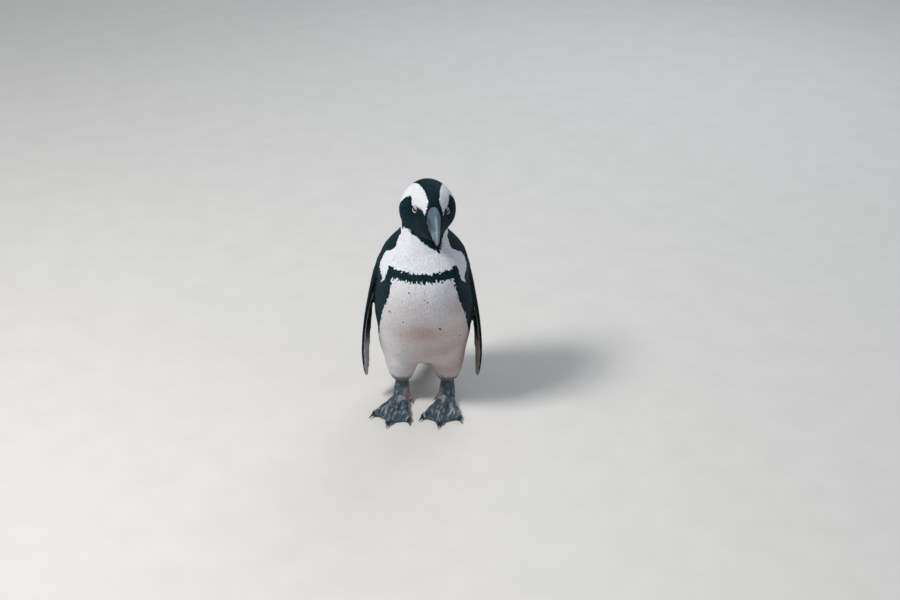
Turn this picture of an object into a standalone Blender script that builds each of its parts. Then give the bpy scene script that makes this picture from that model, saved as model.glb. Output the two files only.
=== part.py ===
"""African penguin, a still life-size model: an adult that stands with its neck drawn in, its head
a little bowed and tilted, and its flippers hanging. Metres, +Z up. The bird faces -Y, its left
side is at +X, and it stands on the floor at z = 0 with the middle of its outline over the origin.
"""

import math

import bmesh
import bpy
import numpy as np
from mathutils import Matrix, Vector

# ---------------------------------------------------------------- driving dimensions

GAP = 0.0003  # what neighbouring solids keep between them

# Trunk and neck, feathers and all: height, half width, front and back of each level section.
BODY_LEVELS = (
    (0.050, 0.010, 0.048, 0.068),
    (0.058, 0.025, 0.028, 0.078),
    (0.071, 0.0510, -0.008, 0.084),
    (0.085, 0.0645, -0.036, 0.086),
    (0.105, 0.0682, -0.053, 0.088),
    (0.135, 0.0702, -0.069, 0.084),
    (0.165, 0.0732, -0.080, 0.076),
    (0.195, 0.0716, -0.089, 0.067),
    (0.225, 0.0656, -0.095, 0.059),
    (0.248, 0.0655, -0.093, 0.052),
    (0.268, 0.0570, -0.083, 0.045),
    (0.288, 0.0365, -0.069, 0.037),
    (0.308, 0.0315, -0.056, 0.029),
    (0.328, 0.0300, -0.048, 0.021),
)
BODY_SQUARENESS = 2.25  # exponent of the section's superellipse; 2 is an ellipse
BELLY_LEAN = -0.0022  # how far the belly hangs to the bird's right of its chest
LEAN_START, LEAN_END = 0.125, 0.090  # heights between which that comes in

# Feathered shanks: height, offset from the midline, middle in y, half width, half depth.
SHANK_LEVELS = (
    (0.125, 0.028, 0.008, 0.0260, 0.0380),
    (0.095, 0.033, 0.006, 0.0290, 0.0400),
    (0.074, 0.0345, 0.003, 0.0260, 0.0340),
    (0.059, 0.0345, 0.001, 0.0230, 0.0270),
    (0.049, 0.0345, 0.001, 0.0195, 0.0215),
    (0.042, 0.0345, 0.001, 0.0160, 0.0165),
    (0.038, 0.0345, 0.001, 0.0130, 0.0135),
)

# Head, in its own frame: forward from the middle, half width, top and bottom of each section.
HEAD_MIDDLE = Vector((0.0085, -0.030, 0.3380))
HEAD_PITCH = math.radians(10)  # bill down
HEAD_YAW = math.radians(7)  # bill to the bird's left
HEAD_ROLL = math.radians(6)  # crown to the bird's left
HEAD_SECTIONS = (
    (-0.0470, 0.0080, 0.010, -0.010),
    (-0.0425, 0.0210, 0.0190, -0.0250),
    (-0.0310, 0.0335, 0.0280, -0.0355),
    (-0.0150, 0.0402, 0.0325, -0.0405),
    (0.0000, 0.0402, 0.0345, -0.0420),
    (0.0110, 0.0352, 0.0347, -0.0405),
    (0.0210, 0.0280, 0.0332, -0.0375),
    (0.0320, 0.0210, 0.0300, -0.0330),
    (0.0430, 0.0148, 0.0245, -0.0275),
    (0.0520, 0.0105, 0.0190, -0.0220),
)
HEAD_CHEEKS = 0.13  # how much wider a section is low down than high up
# The feathered chin, which runs out under the lower mandible.
CHIN_SECTIONS = (
    (0.0360, 0.0150, 0.002, -0.0310),
    (0.0480, 0.0120, 0.002, -0.0235),
    (0.0580, 0.0085, -0.001, -0.0160),
    (0.0650, 0.0050, -0.003, -0.0102),
)
EYE_PLACE = (0.0200, 0.0072)  # forward and up, in the head's frame
EYE_LATERAL = 0.0195
EYE_RADIUS = 0.0075
SOCKET_RADIUS = 0.0125
SOCKET_DEPTH = 0.0016

# Bill, in the head's frame: forward, half width, ridge, and the line where the halves meet.
UPPER_BILL = (
    (0.0380, 0.0085, 0.0258, 0.0040),
    (0.0500, 0.0092, 0.0247, 0.0042),
    (0.0610, 0.0079, 0.0227, 0.0052),
    (0.0735, 0.0060, 0.0204, 0.0062),
    (0.0840, 0.0048, 0.0182, 0.0063),
    (0.0915, 0.0039, 0.0150, 0.0053),
    (0.0960, 0.0027, 0.0112, 0.0035),
    (0.0985, 0.0012, 0.0068, 0.0018),
)
# The same for the lower half: forward, half width, meeting line, and its keel.
LOWER_BILL = (
    (0.0380, 0.0072, 0.0033, -0.0070),
    (0.0510, 0.0074, 0.0037, -0.0066),
    (0.0640, 0.0060, 0.0048, -0.0036),
    (0.0750, 0.0048, 0.0055, -0.0012),
    (0.0850, 0.0036, 0.0055, 0.0002),
    (0.0910, 0.0019, 0.0044, 0.0018),
)

# Flippers, for the side at +X: the middle of the chord from shoulder to tip, the chord, the
# thickness, and how far the leading edge turns out from straight ahead, in degrees.
FLIPPER_STATIONS = (
    (0.0350, 0.001, 0.2620, 0.018, 0.0110, 0),
    (0.0535, 0.001, 0.2520, 0.033, 0.0150, 0),
    (0.0645, 0.002, 0.2340, 0.046, 0.0150, 1),
    (0.0710, 0.003, 0.2110, 0.053, 0.0125, 4),
    (0.0757, 0.003, 0.1840, 0.056, 0.0105, 7),
    (0.0800, 0.002, 0.1530, 0.056, 0.0090, 10),
    (0.0828, 0.001, 0.1200, 0.052, 0.0080, 12),
    (0.0842, 0.000, 0.0900, 0.044, 0.0070, 13),
    (0.0838, -0.001, 0.0660, 0.033, 0.0058, 13),
    (0.0828, -0.001, 0.0500, 0.020, 0.0045, 13),
    (0.0822, -0.001, 0.0445, 0.008, 0.0030, 13),
)
# How far each flipper hangs further out than the stations say, at its shoulder and at its tip.
FLIPPER_SWING = {"left": (-0.0035, -0.0035), "right": (0.0000, 0.0045)}
FLIPPER_TAPER = 0.34  # how quickly the section thins from its leading to its trailing edge

# Tail: middle in y and z, half width, half thickness, from the rump to the tip.
TAIL_STATIONS = (
    (0.056, 0.096, 0.026, 0.0160),
    (0.074, 0.073, 0.031, 0.0160),
    (0.090, 0.050, 0.030, 0.0120),
    (0.104, 0.029, 0.026, 0.0078),
    (0.115, 0.011, 0.018, 0.0044),
    (0.1215, -0.001, 0.010, 0.0024),
)
TAIL_SQUARENESS = 2.4

# Feet. The shank's bare lower end, then three webbed toes and a small hind toe.
ANKLE = Vector((0.0345, 0.001, 0.050))
FOOT_YAW = {"left": math.radians(-9), "right": math.radians(-14)}  # both turned to -X
TARSUS_LEVELS = (  # height, middle in y, half width, half depth
    (0.056, 0.001, 0.0090, 0.0100),
    (0.042, 0.001, 0.0098, 0.0110),
    (0.028, -0.001, 0.0108, 0.0120),
    (0.016, -0.004, 0.0128, 0.0150),
    (0.006, -0.006, 0.0120, 0.0150),
    (-0.002, -0.006, 0.0095, 0.0120),
)
TOES = {  # angle outwards from straight ahead, length to the claw, radius at the root
    "inner": (math.radians(-23), 0.068, 0.0068),
    "middle": (math.radians(0), 0.077, 0.0075),
    "outer": (math.radians(25), 0.064, 0.0070),
}
TOE_HEIGHT = 0.0042  # height of a toe's middle over the floor at its end
TOE_TAPER = 0.30  # how much of its radius a toe loses towards its end
TOE_JOINTS, TOE_SWELL = 3, 0.10  # the pads under its joints
INSTEP_RISE = 0.0065  # how far the roots of the toes lie above their ends
# The small hind toe, on the inner side of the ankle: its root and its end, and their radii.
HIND_TOE = (Vector((-0.0085, 0.002, 0.0105)), Vector((-0.0155, -0.0085, 0.0065)))
HIND_TOE_RADII = (0.0042, 0.0030)
WEB_THICKNESS = 0.0036
WEB_HEIGHT = 0.0042
WEB_ROOT, WEB_REACH = 0.15, 1.02  # where it starts and ends, of the toe's length
WEB_HOLLOW = 0.05  # how far its front edge is scooped out, of its reach
CLAW_LENGTH = 0.0135
CLAW_RADIUS = 0.0027
CLAW_FLATNESS = 0.8  # width over height
CLAW_DROOP = 0.0030  # how far its point hangs below its axis
HIND_CLAW_SIZE = 0.55  # of a front claw's

# Thin cuts that part the flesh: a point of the plane, and its slope up towards the back.
HEAD_CUT = (Vector((0, -0.054, 0.2900)), math.radians(18))
NECK_CUT = (Vector((0, 0.000, 0.2700)), math.radians(7))
SHANK_CUT_HEIGHT = 0.0765
SHANK_CUT_BACK = 0.0360

# How finely the blended skins are worked: voxel, passes of smoothing, and triangles left.
FLESH_FINENESS = (0.0030, 12, 2400)
FOOT_FINENESS = (0.0013, 2, 460)

SMOOTH_ANGLE = math.radians(50)  # edges sharper than this stay sharp

# ---------------------------------------------------------------- materials

BLACK_PLUMAGE = (0.012, 0.020, 0.024)
WHITE_PLUMAGE = (0.780, 0.800, 0.830)
SLATE_HORN = (0.055, 0.075, 0.095)
FOOT_SKIN = (0.035, 0.050, 0.056)
CLAW_HORN = (0.020, 0.022, 0.024)
EYE_BROWN = (0.030, 0.014, 0.010)


def material(name, colour, roughness):
    """A plain material, made once for each name."""
    made = bpy.data.materials.get(name)
    if made:
        return made
    made = bpy.data.materials.new(name)
    made.use_nodes = True
    shader = made.node_tree.nodes["Principled BSDF"]
    shader.inputs["Base Color"].default_value = (*colour, 1)
    shader.inputs["Roughness"].default_value = roughness
    shader.inputs["Metallic"].default_value = 0
    return made


# ---------------------------------------------------------------- shapes


def through(stations, count):
    """The stations as a smooth run of count rows, on a Catmull-Rom curve through them."""
    rows = np.array(stations, float)
    padded = np.vstack((2 * rows[0] - rows[1], rows, 2 * rows[-1] - rows[-2]))
    made = []
    for s in np.linspace(0, len(rows) - 1, count):
        i = min(int(s), len(rows) - 2)
        t = s - i
        a, b, c, d = padded[i : i + 4]
        made.append(
            b + 0.5 * t * (c - a + t * (2 * a - 5 * b + 4 * c - d + t * (3 * (b - c) + d - a)))
        )
    return np.array(made)


def superellipse(angle, exponent):
    """The unit superellipse's point at this angle."""
    x, y = math.cos(angle), math.sin(angle)
    power = 2 / exponent
    return math.copysign(abs(x) ** power, x), math.copysign(abs(y) ** power, y)


def loft(rings):
    """A closed mesh through rings of equal length, with flat ends."""
    shape = bmesh.new()
    loops = [[shape.verts.new(point) for point in ring] for ring in rings]
    for first, second in zip(loops, loops[1:]):
        for i in range(len(first)):
            j = (i + 1) % len(first)
            shape.faces.new((first[i], first[j], second[j], second[i]))
    shape.faces.new(loops[0])
    shape.faces.new(loops[-1])
    bmesh.ops.recalc_face_normals(shape, faces=shape.faces)
    return shape


def with_longer_ends(rings, reach):
    """The rings with one more beyond each end, this much further out."""
    middles = [sum((Vector(point) for point in ring), Vector()) / len(ring) for ring in rings]
    start = (middles[0] - middles[1]).normalized() * reach
    end = (middles[-1] - middles[-2]).normalized() * reach
    first = [Vector(point) + start for point in rings[0]]
    last = [Vector(point) + end for point in rings[-1]]
    return [first, *rings, last]


def add_object(name, shape, made_of=None):
    """The mesh as an object of the scene; the bmesh is used up."""
    mesh = bpy.data.meshes.new(name)
    shape.to_mesh(mesh)
    shape.free()
    made = bpy.data.objects.new(name, mesh)
    bpy.context.collection.objects.link(made)
    if made_of:
        made.data.materials.append(made_of)
    return made


def with_modifier(made, kind, **settings):
    """The object's mesh, replaced by what one modifier makes of it."""
    modifier = made.modifiers.new(kind, kind)
    for name, value in settings.items():
        setattr(modifier, name, value)
    graph = bpy.context.evaluated_depsgraph_get()
    result = bpy.data.meshes.new_from_object(made.evaluated_get(graph))
    made.modifiers.clear()
    old = made.data
    made.data = result
    bpy.data.meshes.remove(old)
    return made


def join(parts, name):
    """One object with the meshes of all the parts, which are removed."""
    shape = bmesh.new()
    for part in parts:
        shape.from_mesh(part.data)
        bpy.data.objects.remove(part)
    return add_object(name, shape)


def blended(parts, name, fineness):
    """The parts grown into one skin, smoothed, and thinned to a number of triangles."""
    voxel, smoothing, triangles = fineness
    whole = join(parts, name)
    with_modifier(whole, "REMESH", mode="VOXEL", voxel_size=voxel)
    with_modifier(whole, "SMOOTH", factor=0.5, iterations=smoothing)
    with_modifier(whole, "TRIANGULATE")
    ratio = triangles / len(whole.data.polygons)
    return with_modifier(whole, "DECIMATE", ratio=min(1, ratio))


def cut(target, cutters):
    """The target less the cutters, which are removed."""
    for cutter in cutters:
        with_modifier(target, "BOOLEAN", operation="DIFFERENCE", solver="EXACT", object=cutter)
        bpy.data.objects.remove(cutter)
    return target


def stood_flat(made):
    """The object cut off flat at the floor it stands on, z = 0."""
    shape = bmesh.new()
    shape.from_mesh(made.data)
    bmesh.ops.recalc_face_normals(shape, faces=shape.faces)
    sole = bmesh.ops.bisect_plane(
        shape,
        geom=shape.verts[:] + shape.edges[:] + shape.faces[:],
        plane_co=(0, 0, 0),
        plane_no=(0, 0, 1),
        clear_inner=True,
    )
    edges = [item for item in sole["geom_cut"] if isinstance(item, bmesh.types.BMEdge)]
    bmesh.ops.holes_fill(shape, edges=edges)
    bmesh.ops.recalc_face_normals(shape, faces=shape.faces)
    shape.to_mesh(made.data)
    shape.free()
    return made


def box(name, low, high):
    """A box between two corners."""
    shape = bmesh.new()
    bmesh.ops.create_cube(shape, size=1)
    low, high = Vector(low), Vector(high)
    place = Matrix.Translation((low + high) / 2) @ Matrix.Diagonal((*(high - low), 1))
    bmesh.ops.transform(shape, matrix=place, verts=shape.verts)
    return add_object(name, shape)


def middle_of(made):
    """The middle of an object's box."""
    points = np.array([vert.co[:] for vert in made.data.vertices])
    return Vector((points.min(axis=0) + points.max(axis=0)) / 2)


def round_ring(middle, across, along, sides):
    """Points on an ellipse round the middle, from its two half axes as vectors."""
    angles = [2 * math.pi * i / sides for i in range(sides)]
    return [middle + across * math.cos(a) + along * math.sin(a) for a in angles]


def loose_parts(whole):
    """The object's separate bodies, each as an object of its own."""
    source = bmesh.new()
    source.from_mesh(whole.data)
    bpy.data.objects.remove(whole)
    unseen = set(source.verts)
    found = []
    while unseen:
        reached = {unseen.pop()}
        front = list(reached)
        while front:
            vert = front.pop()
            for edge in vert.link_edges:
                other = edge.other_vert(vert)
                if other not in reached:
                    reached.add(other)
                    front.append(other)
        unseen -= reached
        body = source.copy()
        keep = {vert.index for vert in reached}
        body.verts.ensure_lookup_table()
        bmesh.ops.delete(body, geom=[v for v in body.verts if v.index not in keep], context="VERTS")
        found.append(add_object("loose", body))
    source.free()
    return found


# ---------------------------------------------------------------- trunk, neck and shanks


def belly_lean(z):
    """How far the body's section at this height is moved sideways."""
    share = (LEAN_START - z) / (LEAN_START - LEAN_END)
    return BELLY_LEAN * min(1, max(0, share))


def body_solid():
    """Trunk and neck: level sections from the belly up into the head."""
    count, sides = 48, 40
    rings = []
    for z, half, front, back in through(BODY_LEVELS, count):
        middle, reach = (front + back) / 2, (back - front) / 2
        ring = []
        for i in range(sides):
            x, y = superellipse(2 * math.pi * i / sides, BODY_SQUARENESS)
            ring.append((belly_lean(z) + half * x, middle + reach * y, z))
        rings.append(ring)
    return add_object("body", loft(rings))


def shank_solid(side):
    """A feathered shank, from inside the belly to the hem over the bare ankle."""
    count, sides = 18, 24
    rings = []
    for z, x, y, half, reach in through(SHANK_LEVELS, count):
        rings.append(
            round_ring(Vector((side * x, y, z)), Vector((half, 0, 0)), Vector((0, reach, 0)), sides)
        )
    return add_object("shank", loft(rings))


# ---------------------------------------------------------------- head, eyes and bill


def head_frame():
    """From the head's own frame (x to its left, -y forward, z up) to the world."""
    return (
        Matrix.Translation(HEAD_MIDDLE)
        @ Matrix.Rotation(HEAD_YAW, 4, "Z")
        @ Matrix.Rotation(HEAD_PITCH, 4, "X")
        @ Matrix.Rotation(HEAD_ROLL, 4, "Y")
    )


def forward_loft(sections, count, sides, exponent, grow=0.0, cheeks=0.0):
    """A loft along the head's forward axis; grow moves its surface out."""
    rings = []
    for forward, half, top, bottom in through(sections, count):
        middle, reach = (top + bottom) / 2, (top - bottom) / 2
        ring = []
        for i in range(sides):
            x, z = superellipse(2 * math.pi * i / sides, exponent)
            wide = (half + grow) * (1 - cheeks * z)
            ring.append((wide * x, -forward, middle + (reach + grow) * z))
        rings.append(ring)
    shape = loft(with_longer_ends(rings, grow) if grow else rings)
    bmesh.ops.transform(shape, matrix=head_frame(), verts=shape.verts)
    return shape


def eye_middle(side):
    """An eye's middle in the head's frame."""
    forward, up = EYE_PLACE
    return Vector((side * EYE_LATERAL, -forward, up))


def eye_solid(side, grow=0.0):
    """An eyeball; grow moves its surface out."""
    shape = bmesh.new()
    bmesh.ops.create_uvsphere(shape, u_segments=14, v_segments=8, radius=EYE_RADIUS + grow)
    bmesh.ops.transform(
        shape, matrix=head_frame() @ Matrix.Translation(eye_middle(side)), verts=shape.verts
    )
    return shape


def press_sockets(flesh):
    """Sinks the feathered surface a little round each eye."""
    frame = head_frame()
    for side in (-1, 1):
        middle = frame @ eye_middle(side)
        inwards = frame.to_3x3() @ Vector((-side, 0, 0))
        for vert in flesh.data.vertices:
            reach = (vert.co - middle).length / SOCKET_RADIUS
            if reach < 1:
                vert.co += inwards * SOCKET_DEPTH * (1 - reach**2) ** 2
    return flesh


# ---------------------------------------------------------------- flippers and tail


def flipper_solid(side_name, grow=0.0):
    """A flipper: an aerofoil section with a round leading edge and a thin trailing edge."""
    count, sides = 17, 14
    side = 1 if side_name == "left" else -1
    top, tip = FLIPPER_STATIONS[0][2], FLIPPER_STATIONS[-1][2]
    shoulder_swing, tip_swing = FLIPPER_SWING[side_name]
    rings = []
    for x, y, z, chord, thickness, turn in through(FLIPPER_STATIONS, count):
        turn = math.radians(turn)
        x += shoulder_swing + (tip_swing - shoulder_swing) * (top - z) / (top - tip)
        ahead = Vector((side * math.sin(turn), -math.cos(turn), 0))
        out = Vector((side * math.cos(turn), math.sin(turn), 0))
        middle = Vector((side * x, y, z))
        ring = []
        for i in range(sides):
            angle = 2 * math.pi * i / sides
            along = math.cos(angle)
            across = math.sin(angle) * (1 - FLIPPER_TAPER * (1 - along))
            ring.append(
                middle
                + ahead * (along * (chord / 2 + grow))
                + out * (across * (thickness / 2) + math.copysign(grow, across or 1))
            )
        rings.append(ring)
    return loft(with_longer_ends(rings, grow) if grow else rings)


def tail_solid(grow=0.0):
    """The wedge of stiff tail feathers, which slants down to the floor behind the feet."""
    count, sides = 11, 16
    rows = through(TAIL_STATIONS, count)
    rings = []
    for i, (y, z, half, thick) in enumerate(rows):
        before, after = rows[max(i - 1, 0)], rows[min(i + 1, len(rows) - 1)]
        along = Vector((0, after[0] - before[0], after[1] - before[1])).normalized()
        normal = along.cross(Vector((1, 0, 0)))
        middle = Vector((0, y, z))
        ring = []
        for k in range(sides):
            across, up = superellipse(2 * math.pi * k / sides, TAIL_SQUARENESS)
            ring.append(
                middle + Vector((across * (half + grow), 0, 0)) + normal * (up * (thick + grow))
            )
        rings.append(ring)
    return loft(with_longer_ends(rings, grow) if grow else rings)


# ---------------------------------------------------------------- feet and claws


def foot_frame(side_name):
    """From a foot's own frame (-y ahead, +x outwards, floor at 0) to the world."""
    side = 1 if side_name == "left" else -1
    turn = Matrix.Rotation(FOOT_YAW[side_name], 4, "Z")
    mirror = Matrix.Diagonal((side, 1, 1, 1))
    return Matrix.Translation((side * ANKLE.x, ANKLE.y, 0)) @ turn @ mirror


def toe_direction(toe):
    angle = TOES[toe][0]
    return Vector((math.sin(angle), -math.cos(angle), 0))


def toe_points(toe, count):
    """The middle line of a toe, which sinks from the instep to the floor, and its radii."""
    _, length, radius = TOES[toe]
    for s in np.linspace(0, 1, count):
        pad = 1 + TOE_SWELL * math.cos(2 * math.pi * TOE_JOINTS * s)
        height = TOE_HEIGHT + INSTEP_RISE * (1 - s) ** 2
        middle = toe_direction(toe) * (length * s) + Vector((0, 0, height))
        yield middle, radius * (1 - TOE_TAPER * s) * pad


def tube(points_and_radii, sides):
    """A round-ended tube along points that run mostly level."""
    rounding = 0.6  # the end rings' radius, and how far out they lie, of the tube's radius
    rows = list(points_and_radii)
    direction = (rows[-1][0] - rows[0][0]).normalized()
    across = direction.cross(Vector((0, 0, 1))).normalized()
    up = across.cross(direction)
    first, last = rows[0], rows[-1]
    rows.insert(0, (first[0] - direction * first[1] * rounding, first[1] * rounding))
    rows.append((last[0] + direction * last[1] * rounding, last[1] * rounding))
    return loft([round_ring(middle, across * r, up * r, sides) for middle, r in rows])


def web_solid(first, second):
    """The web between two toes: a thin sheet with a hollow front edge."""
    rows = 10
    outline = [Vector((0, 0, 0))]
    for s in np.linspace(WEB_ROOT, WEB_REACH, rows):
        outline.append(toe_direction(first) * (TOES[first][1] * s))
    start, end = outline[-1], toe_direction(second) * (TOES[second][1] * WEB_REACH)
    for s in np.linspace(0, 1, rows)[1:-1]:
        hollow = 1 - WEB_HOLLOW * math.sin(math.pi * s)
        outline.append((start + (end - start) * s) * hollow)
    for s in np.linspace(WEB_REACH, WEB_ROOT, rows):
        outline.append(toe_direction(second) * (TOES[second][1] * s))
    low, high = WEB_HEIGHT - WEB_THICKNESS / 2, WEB_HEIGHT + WEB_THICKNESS / 2
    return loft([[p + Vector((0, 0, z)) for p in outline] for z in (low, high)])


def claw_line(toe):
    """Where a claw starts, its direction, and its size over a front claw's."""
    if toe == "hind":
        root, end = HIND_TOE
        direction = (end - root).normalized()
        return end, Vector((direction.x, direction.y, -0.12)).normalized(), HIND_CLAW_SIZE
    start = toe_direction(toe) * (TOES[toe][1] - 0.0005) + Vector((0, 0, TOE_HEIGHT + 0.0012))
    return start, toe_direction(toe), 1.0


def claw_solid(side_name, toe, grow=0.0):
    """A claw: a cone that bends down to its point; grow moves its surface out."""
    count, sides = 6, 8
    start, direction, size = claw_line(toe)
    across = direction.cross(Vector((0, 0, 1))).normalized()
    up = across.cross(direction)
    rings = []
    for s in np.linspace(0, 1, count):
        middle = start + direction * (CLAW_LENGTH * size * s) - up * (CLAW_DROOP * size * s**2)
        radius = CLAW_RADIUS * size * (1 - 0.86 * s**1.4) + grow
        rings.append(round_ring(middle, across * (radius * CLAW_FLATNESS), up * radius, sides))
    if grow:
        rings.insert(0, [point - direction * grow for point in rings[0]])
    shape = loft(rings)
    bmesh.ops.transform(shape, matrix=foot_frame(side_name), verts=shape.verts)
    bmesh.ops.recalc_face_normals(shape, faces=shape.faces)
    return shape


def foot_solid(side_name):
    """Bare ankle, toes and webs in one skin, cut flat where it stands on the floor."""
    rings = []
    for z, y, half, reach in through(TARSUS_LEVELS, 14):
        rings.append(
            round_ring(Vector((0, y, z)), Vector((half, 0, 0)), Vector((0, reach, 0)), 20)
        )
    parts = [add_object("tarsus", loft(rings))]
    for toe in TOES:
        parts.append(add_object("toe", tube(toe_points(toe, 13), 12)))
    thick, thin = HIND_TOE_RADII
    root, end = HIND_TOE
    hind = [(root.lerp(end, s), thick + (thin - thick) * s) for s in np.linspace(0, 1, 4)]
    parts.append(add_object("hind_toe", tube(hind, 10)))
    parts.append(add_object("web", web_solid("inner", "middle")))
    parts.append(add_object("web", web_solid("middle", "outer")))
    foot = blended(parts, f"foot_{side_name}", FOOT_FINENESS)
    foot.data.transform(foot_frame(side_name))
    return stood_flat(foot)


# ---------------------------------------------------------------- the bird


def level_slab(point, slope):
    """A slab one gap thick that passes through the whole body."""
    slab = box("cutter", (-0.2, -0.2, -GAP / 2), (0.2, 0.2, GAP / 2))
    slab.data.transform(Matrix.Translation(point) @ Matrix.Rotation(slope, 4, "X"))
    return slab


def part_flesh(flesh):
    """Cuts the flesh into head, neck, trunk and two shanks, and names them by where they lie."""
    top, back, half, far = SHANK_CUT_HEIGHT, SHANK_CUT_BACK, GAP / 2, 0.1
    cut(flesh, [level_slab(*HEAD_CUT), level_slab(*NECK_CUT)])
    cut(flesh, [box("cutter", (-far, -far, top - half), (far, back + half, top + half))])
    cut(flesh, [box("cutter", (-far, back - half, 0), (far, back + half, top))])
    cut(flesh, [box("cutter", (-half, -far, 0), (half, back, top))])
    parts = sorted(loose_parts(flesh), key=lambda part: middle_of(part).z)
    legs = sorted(parts[:2], key=lambda part: middle_of(part).x)
    names = ("leg_right", "leg_left", "trunk", "neck", "head")
    named = dict(zip(names, (*legs, *parts[2:]), strict=True))
    for name, part in named.items():
        part.name = name
        part.data.name = name
    return named


def finish(made, made_of):
    """Gives a sub-part its material, and smooth shading except at its cut edges."""
    made.data.materials.clear()
    made.data.materials.append(made_of)
    made.data.shade_smooth()
    made.data.set_sharp_from_angle(angle=SMOOTH_ANGLE)


def centre(parts):
    """Sets the middle of the whole outline over the origin, and its lowest point on the floor."""
    points = np.array([vert.co[:] for part in parts for vert in part.data.vertices])
    low, high = points.min(axis=0), points.max(axis=0)
    shift = Matrix.Translation((-(low[0] + high[0]) / 2, -(low[1] + high[1]) / 2, -low[2]))
    for part in parts:
        part.data.transform(shift)


def main():
    for old in list(bpy.data.objects):
        bpy.data.objects.remove(old)
    black = material("black_plumage", BLACK_PLUMAGE, 0.75)
    white = material("white_plumage", WHITE_PLUMAGE, 0.8)
    horn = material("slate_horn", SLATE_HORN, 0.35)
    skin = material("foot_skin", FOOT_SKIN, 0.6)
    claw_horn = material("claw_horn", CLAW_HORN, 0.3)
    eye_brown = material("eye_brown", EYE_BROWN, 0.1)

    solids = [body_solid(), shank_solid(1), shank_solid(-1)]
    solids.append(add_object("skull", forward_loft(HEAD_SECTIONS, 28, 36, 2.15, 0, HEAD_CHEEKS)))
    solids.append(add_object("chin", forward_loft(CHIN_SECTIONS, 10, 20, 2.1)))
    flesh = blended(solids, "flesh", FLESH_FINENESS)
    press_sockets(flesh)

    made = {}
    for side_name, side in (("left", 1), ("right", -1)):
        cut(flesh, [add_object("cutter", flipper_solid(side_name, 2 * GAP))])
        cut(flesh, [add_object("cutter", eye_solid(side, GAP))])
        foot = foot_solid(side_name)
        grown = foot.copy()
        grown.data = foot.data.copy()
        bpy.context.collection.objects.link(grown)
        with_modifier(grown, "DISPLACE", strength=2 * GAP, mid_level=0)
        cut(flesh, [grown])
        for toe in (*TOES, "hind"):
            cut(foot, [add_object("cutter", claw_solid(side_name, toe, GAP))])
            claw = f"claw_{side_name}_{toe}"
            made[claw] = (add_object(claw, claw_solid(side_name, toe)), claw_horn)
        made[foot.name] = (foot, skin)
        flipper = f"flipper_{side_name}"
        made[flipper] = (add_object(flipper, flipper_solid(side_name)), black)
        eye = f"eye_{side_name}"
        made[eye] = (add_object(eye, eye_solid(side)), eye_brown)
    cut(flesh, [add_object("cutter", tail_solid(GAP))])
    made["tail"] = (stood_flat(add_object("tail", tail_solid())), black)
    for name, sections in (("bill_upper", UPPER_BILL), ("bill_lower", LOWER_BILL)):
        cut(flesh, [add_object("cutter", forward_loft(sections, 13, 14, 2.0, GAP))])
        made[name] = (add_object(name, forward_loft(sections, 13, 14, 2.0)), horn)
    for name, part in part_flesh(flesh).items():
        made[name] = (part, black if name == "head" else white)

    for part, made_of in made.values():
        finish(part, made_of)
    centre([part for part, made_of in made.values()])


main()
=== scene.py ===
# %% [markdown]
# # African penguin, a life-size museum model: the looks
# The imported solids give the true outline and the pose. This script dresses them as a taxidermist
# and a model maker would. One skin is drawn over the flesh, separate feathers stand on it, and
# bill, eyes, feet and claws are made again with the detail that the plain solids lack.
# Lengths are metres, +Z is up, the bird faces -Y, and its left side is at +X.

# %% Load the frame
import math

import bpy
import numpy as np
from mathutils import Matrix, Vector
from mathutils.bvhtree import BVHTree


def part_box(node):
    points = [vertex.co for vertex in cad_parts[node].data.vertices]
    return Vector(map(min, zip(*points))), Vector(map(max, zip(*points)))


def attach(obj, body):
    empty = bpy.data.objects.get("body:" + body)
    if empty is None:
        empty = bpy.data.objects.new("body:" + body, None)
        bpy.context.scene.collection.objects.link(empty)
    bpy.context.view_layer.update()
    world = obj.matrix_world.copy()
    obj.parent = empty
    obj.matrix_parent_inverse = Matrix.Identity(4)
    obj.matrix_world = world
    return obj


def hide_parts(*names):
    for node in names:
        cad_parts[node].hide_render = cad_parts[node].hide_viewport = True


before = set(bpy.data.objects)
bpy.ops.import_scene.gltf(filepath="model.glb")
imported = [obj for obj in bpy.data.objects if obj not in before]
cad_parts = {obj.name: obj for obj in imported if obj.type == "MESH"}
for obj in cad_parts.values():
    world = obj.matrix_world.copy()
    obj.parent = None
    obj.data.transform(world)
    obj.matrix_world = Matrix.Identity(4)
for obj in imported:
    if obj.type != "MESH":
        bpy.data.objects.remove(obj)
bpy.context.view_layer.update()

# %% [markdown]
# ## Landmarks
# Most of the work needs to know where it is on the bird. The head is turned, bowed and tilted, so
# it has a frame of its own: x to its left, y backwards, z up, with the middle of the skull at the
# origin. Everything on the face is easier to say in that frame than in the room's. The body only
# needs an upright middle line, and an angle round it that starts at the breast.

# %% The head's and the body's frames
MM = 0.001
RADIAN = 57.3  # degrees
SIDES = {"left": 1, "right": -1}  # the bird's sides, and the sign of x on each
HEAD_MIDDLE = Vector((0.0120, -0.0281, 0.3380))
HEAD_TURN = (
    Matrix.Rotation(math.radians(7), 4, "Z")
    @ Matrix.Rotation(math.radians(10), 4, "X")
    @ Matrix.Rotation(math.radians(6), 4, "Y")
)
HEAD = Matrix.Translation(HEAD_MIDDLE) @ HEAD_TURN
HEAD_AXES = np.array(HEAD_TURN.to_3x3())
BODY_X = 0.0035  # the body's middle line stands this far to its left
BODY_MIDDLES = (  # height, and the middle of the trunk from front to back, in millimetres
    (60, 55), (90, 27), (120, 15), (150, 4), (180, -4), (210, -12), (240, -18), (270, -17),
    (300, -12), (330, -12),
)


def smooth_step(low, high, value):
    """0 below low, 1 above high, and an even S between."""
    t = np.clip((value - low) / (high - low), 0, 1)
    return t * t * (3 - 2 * t)


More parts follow.
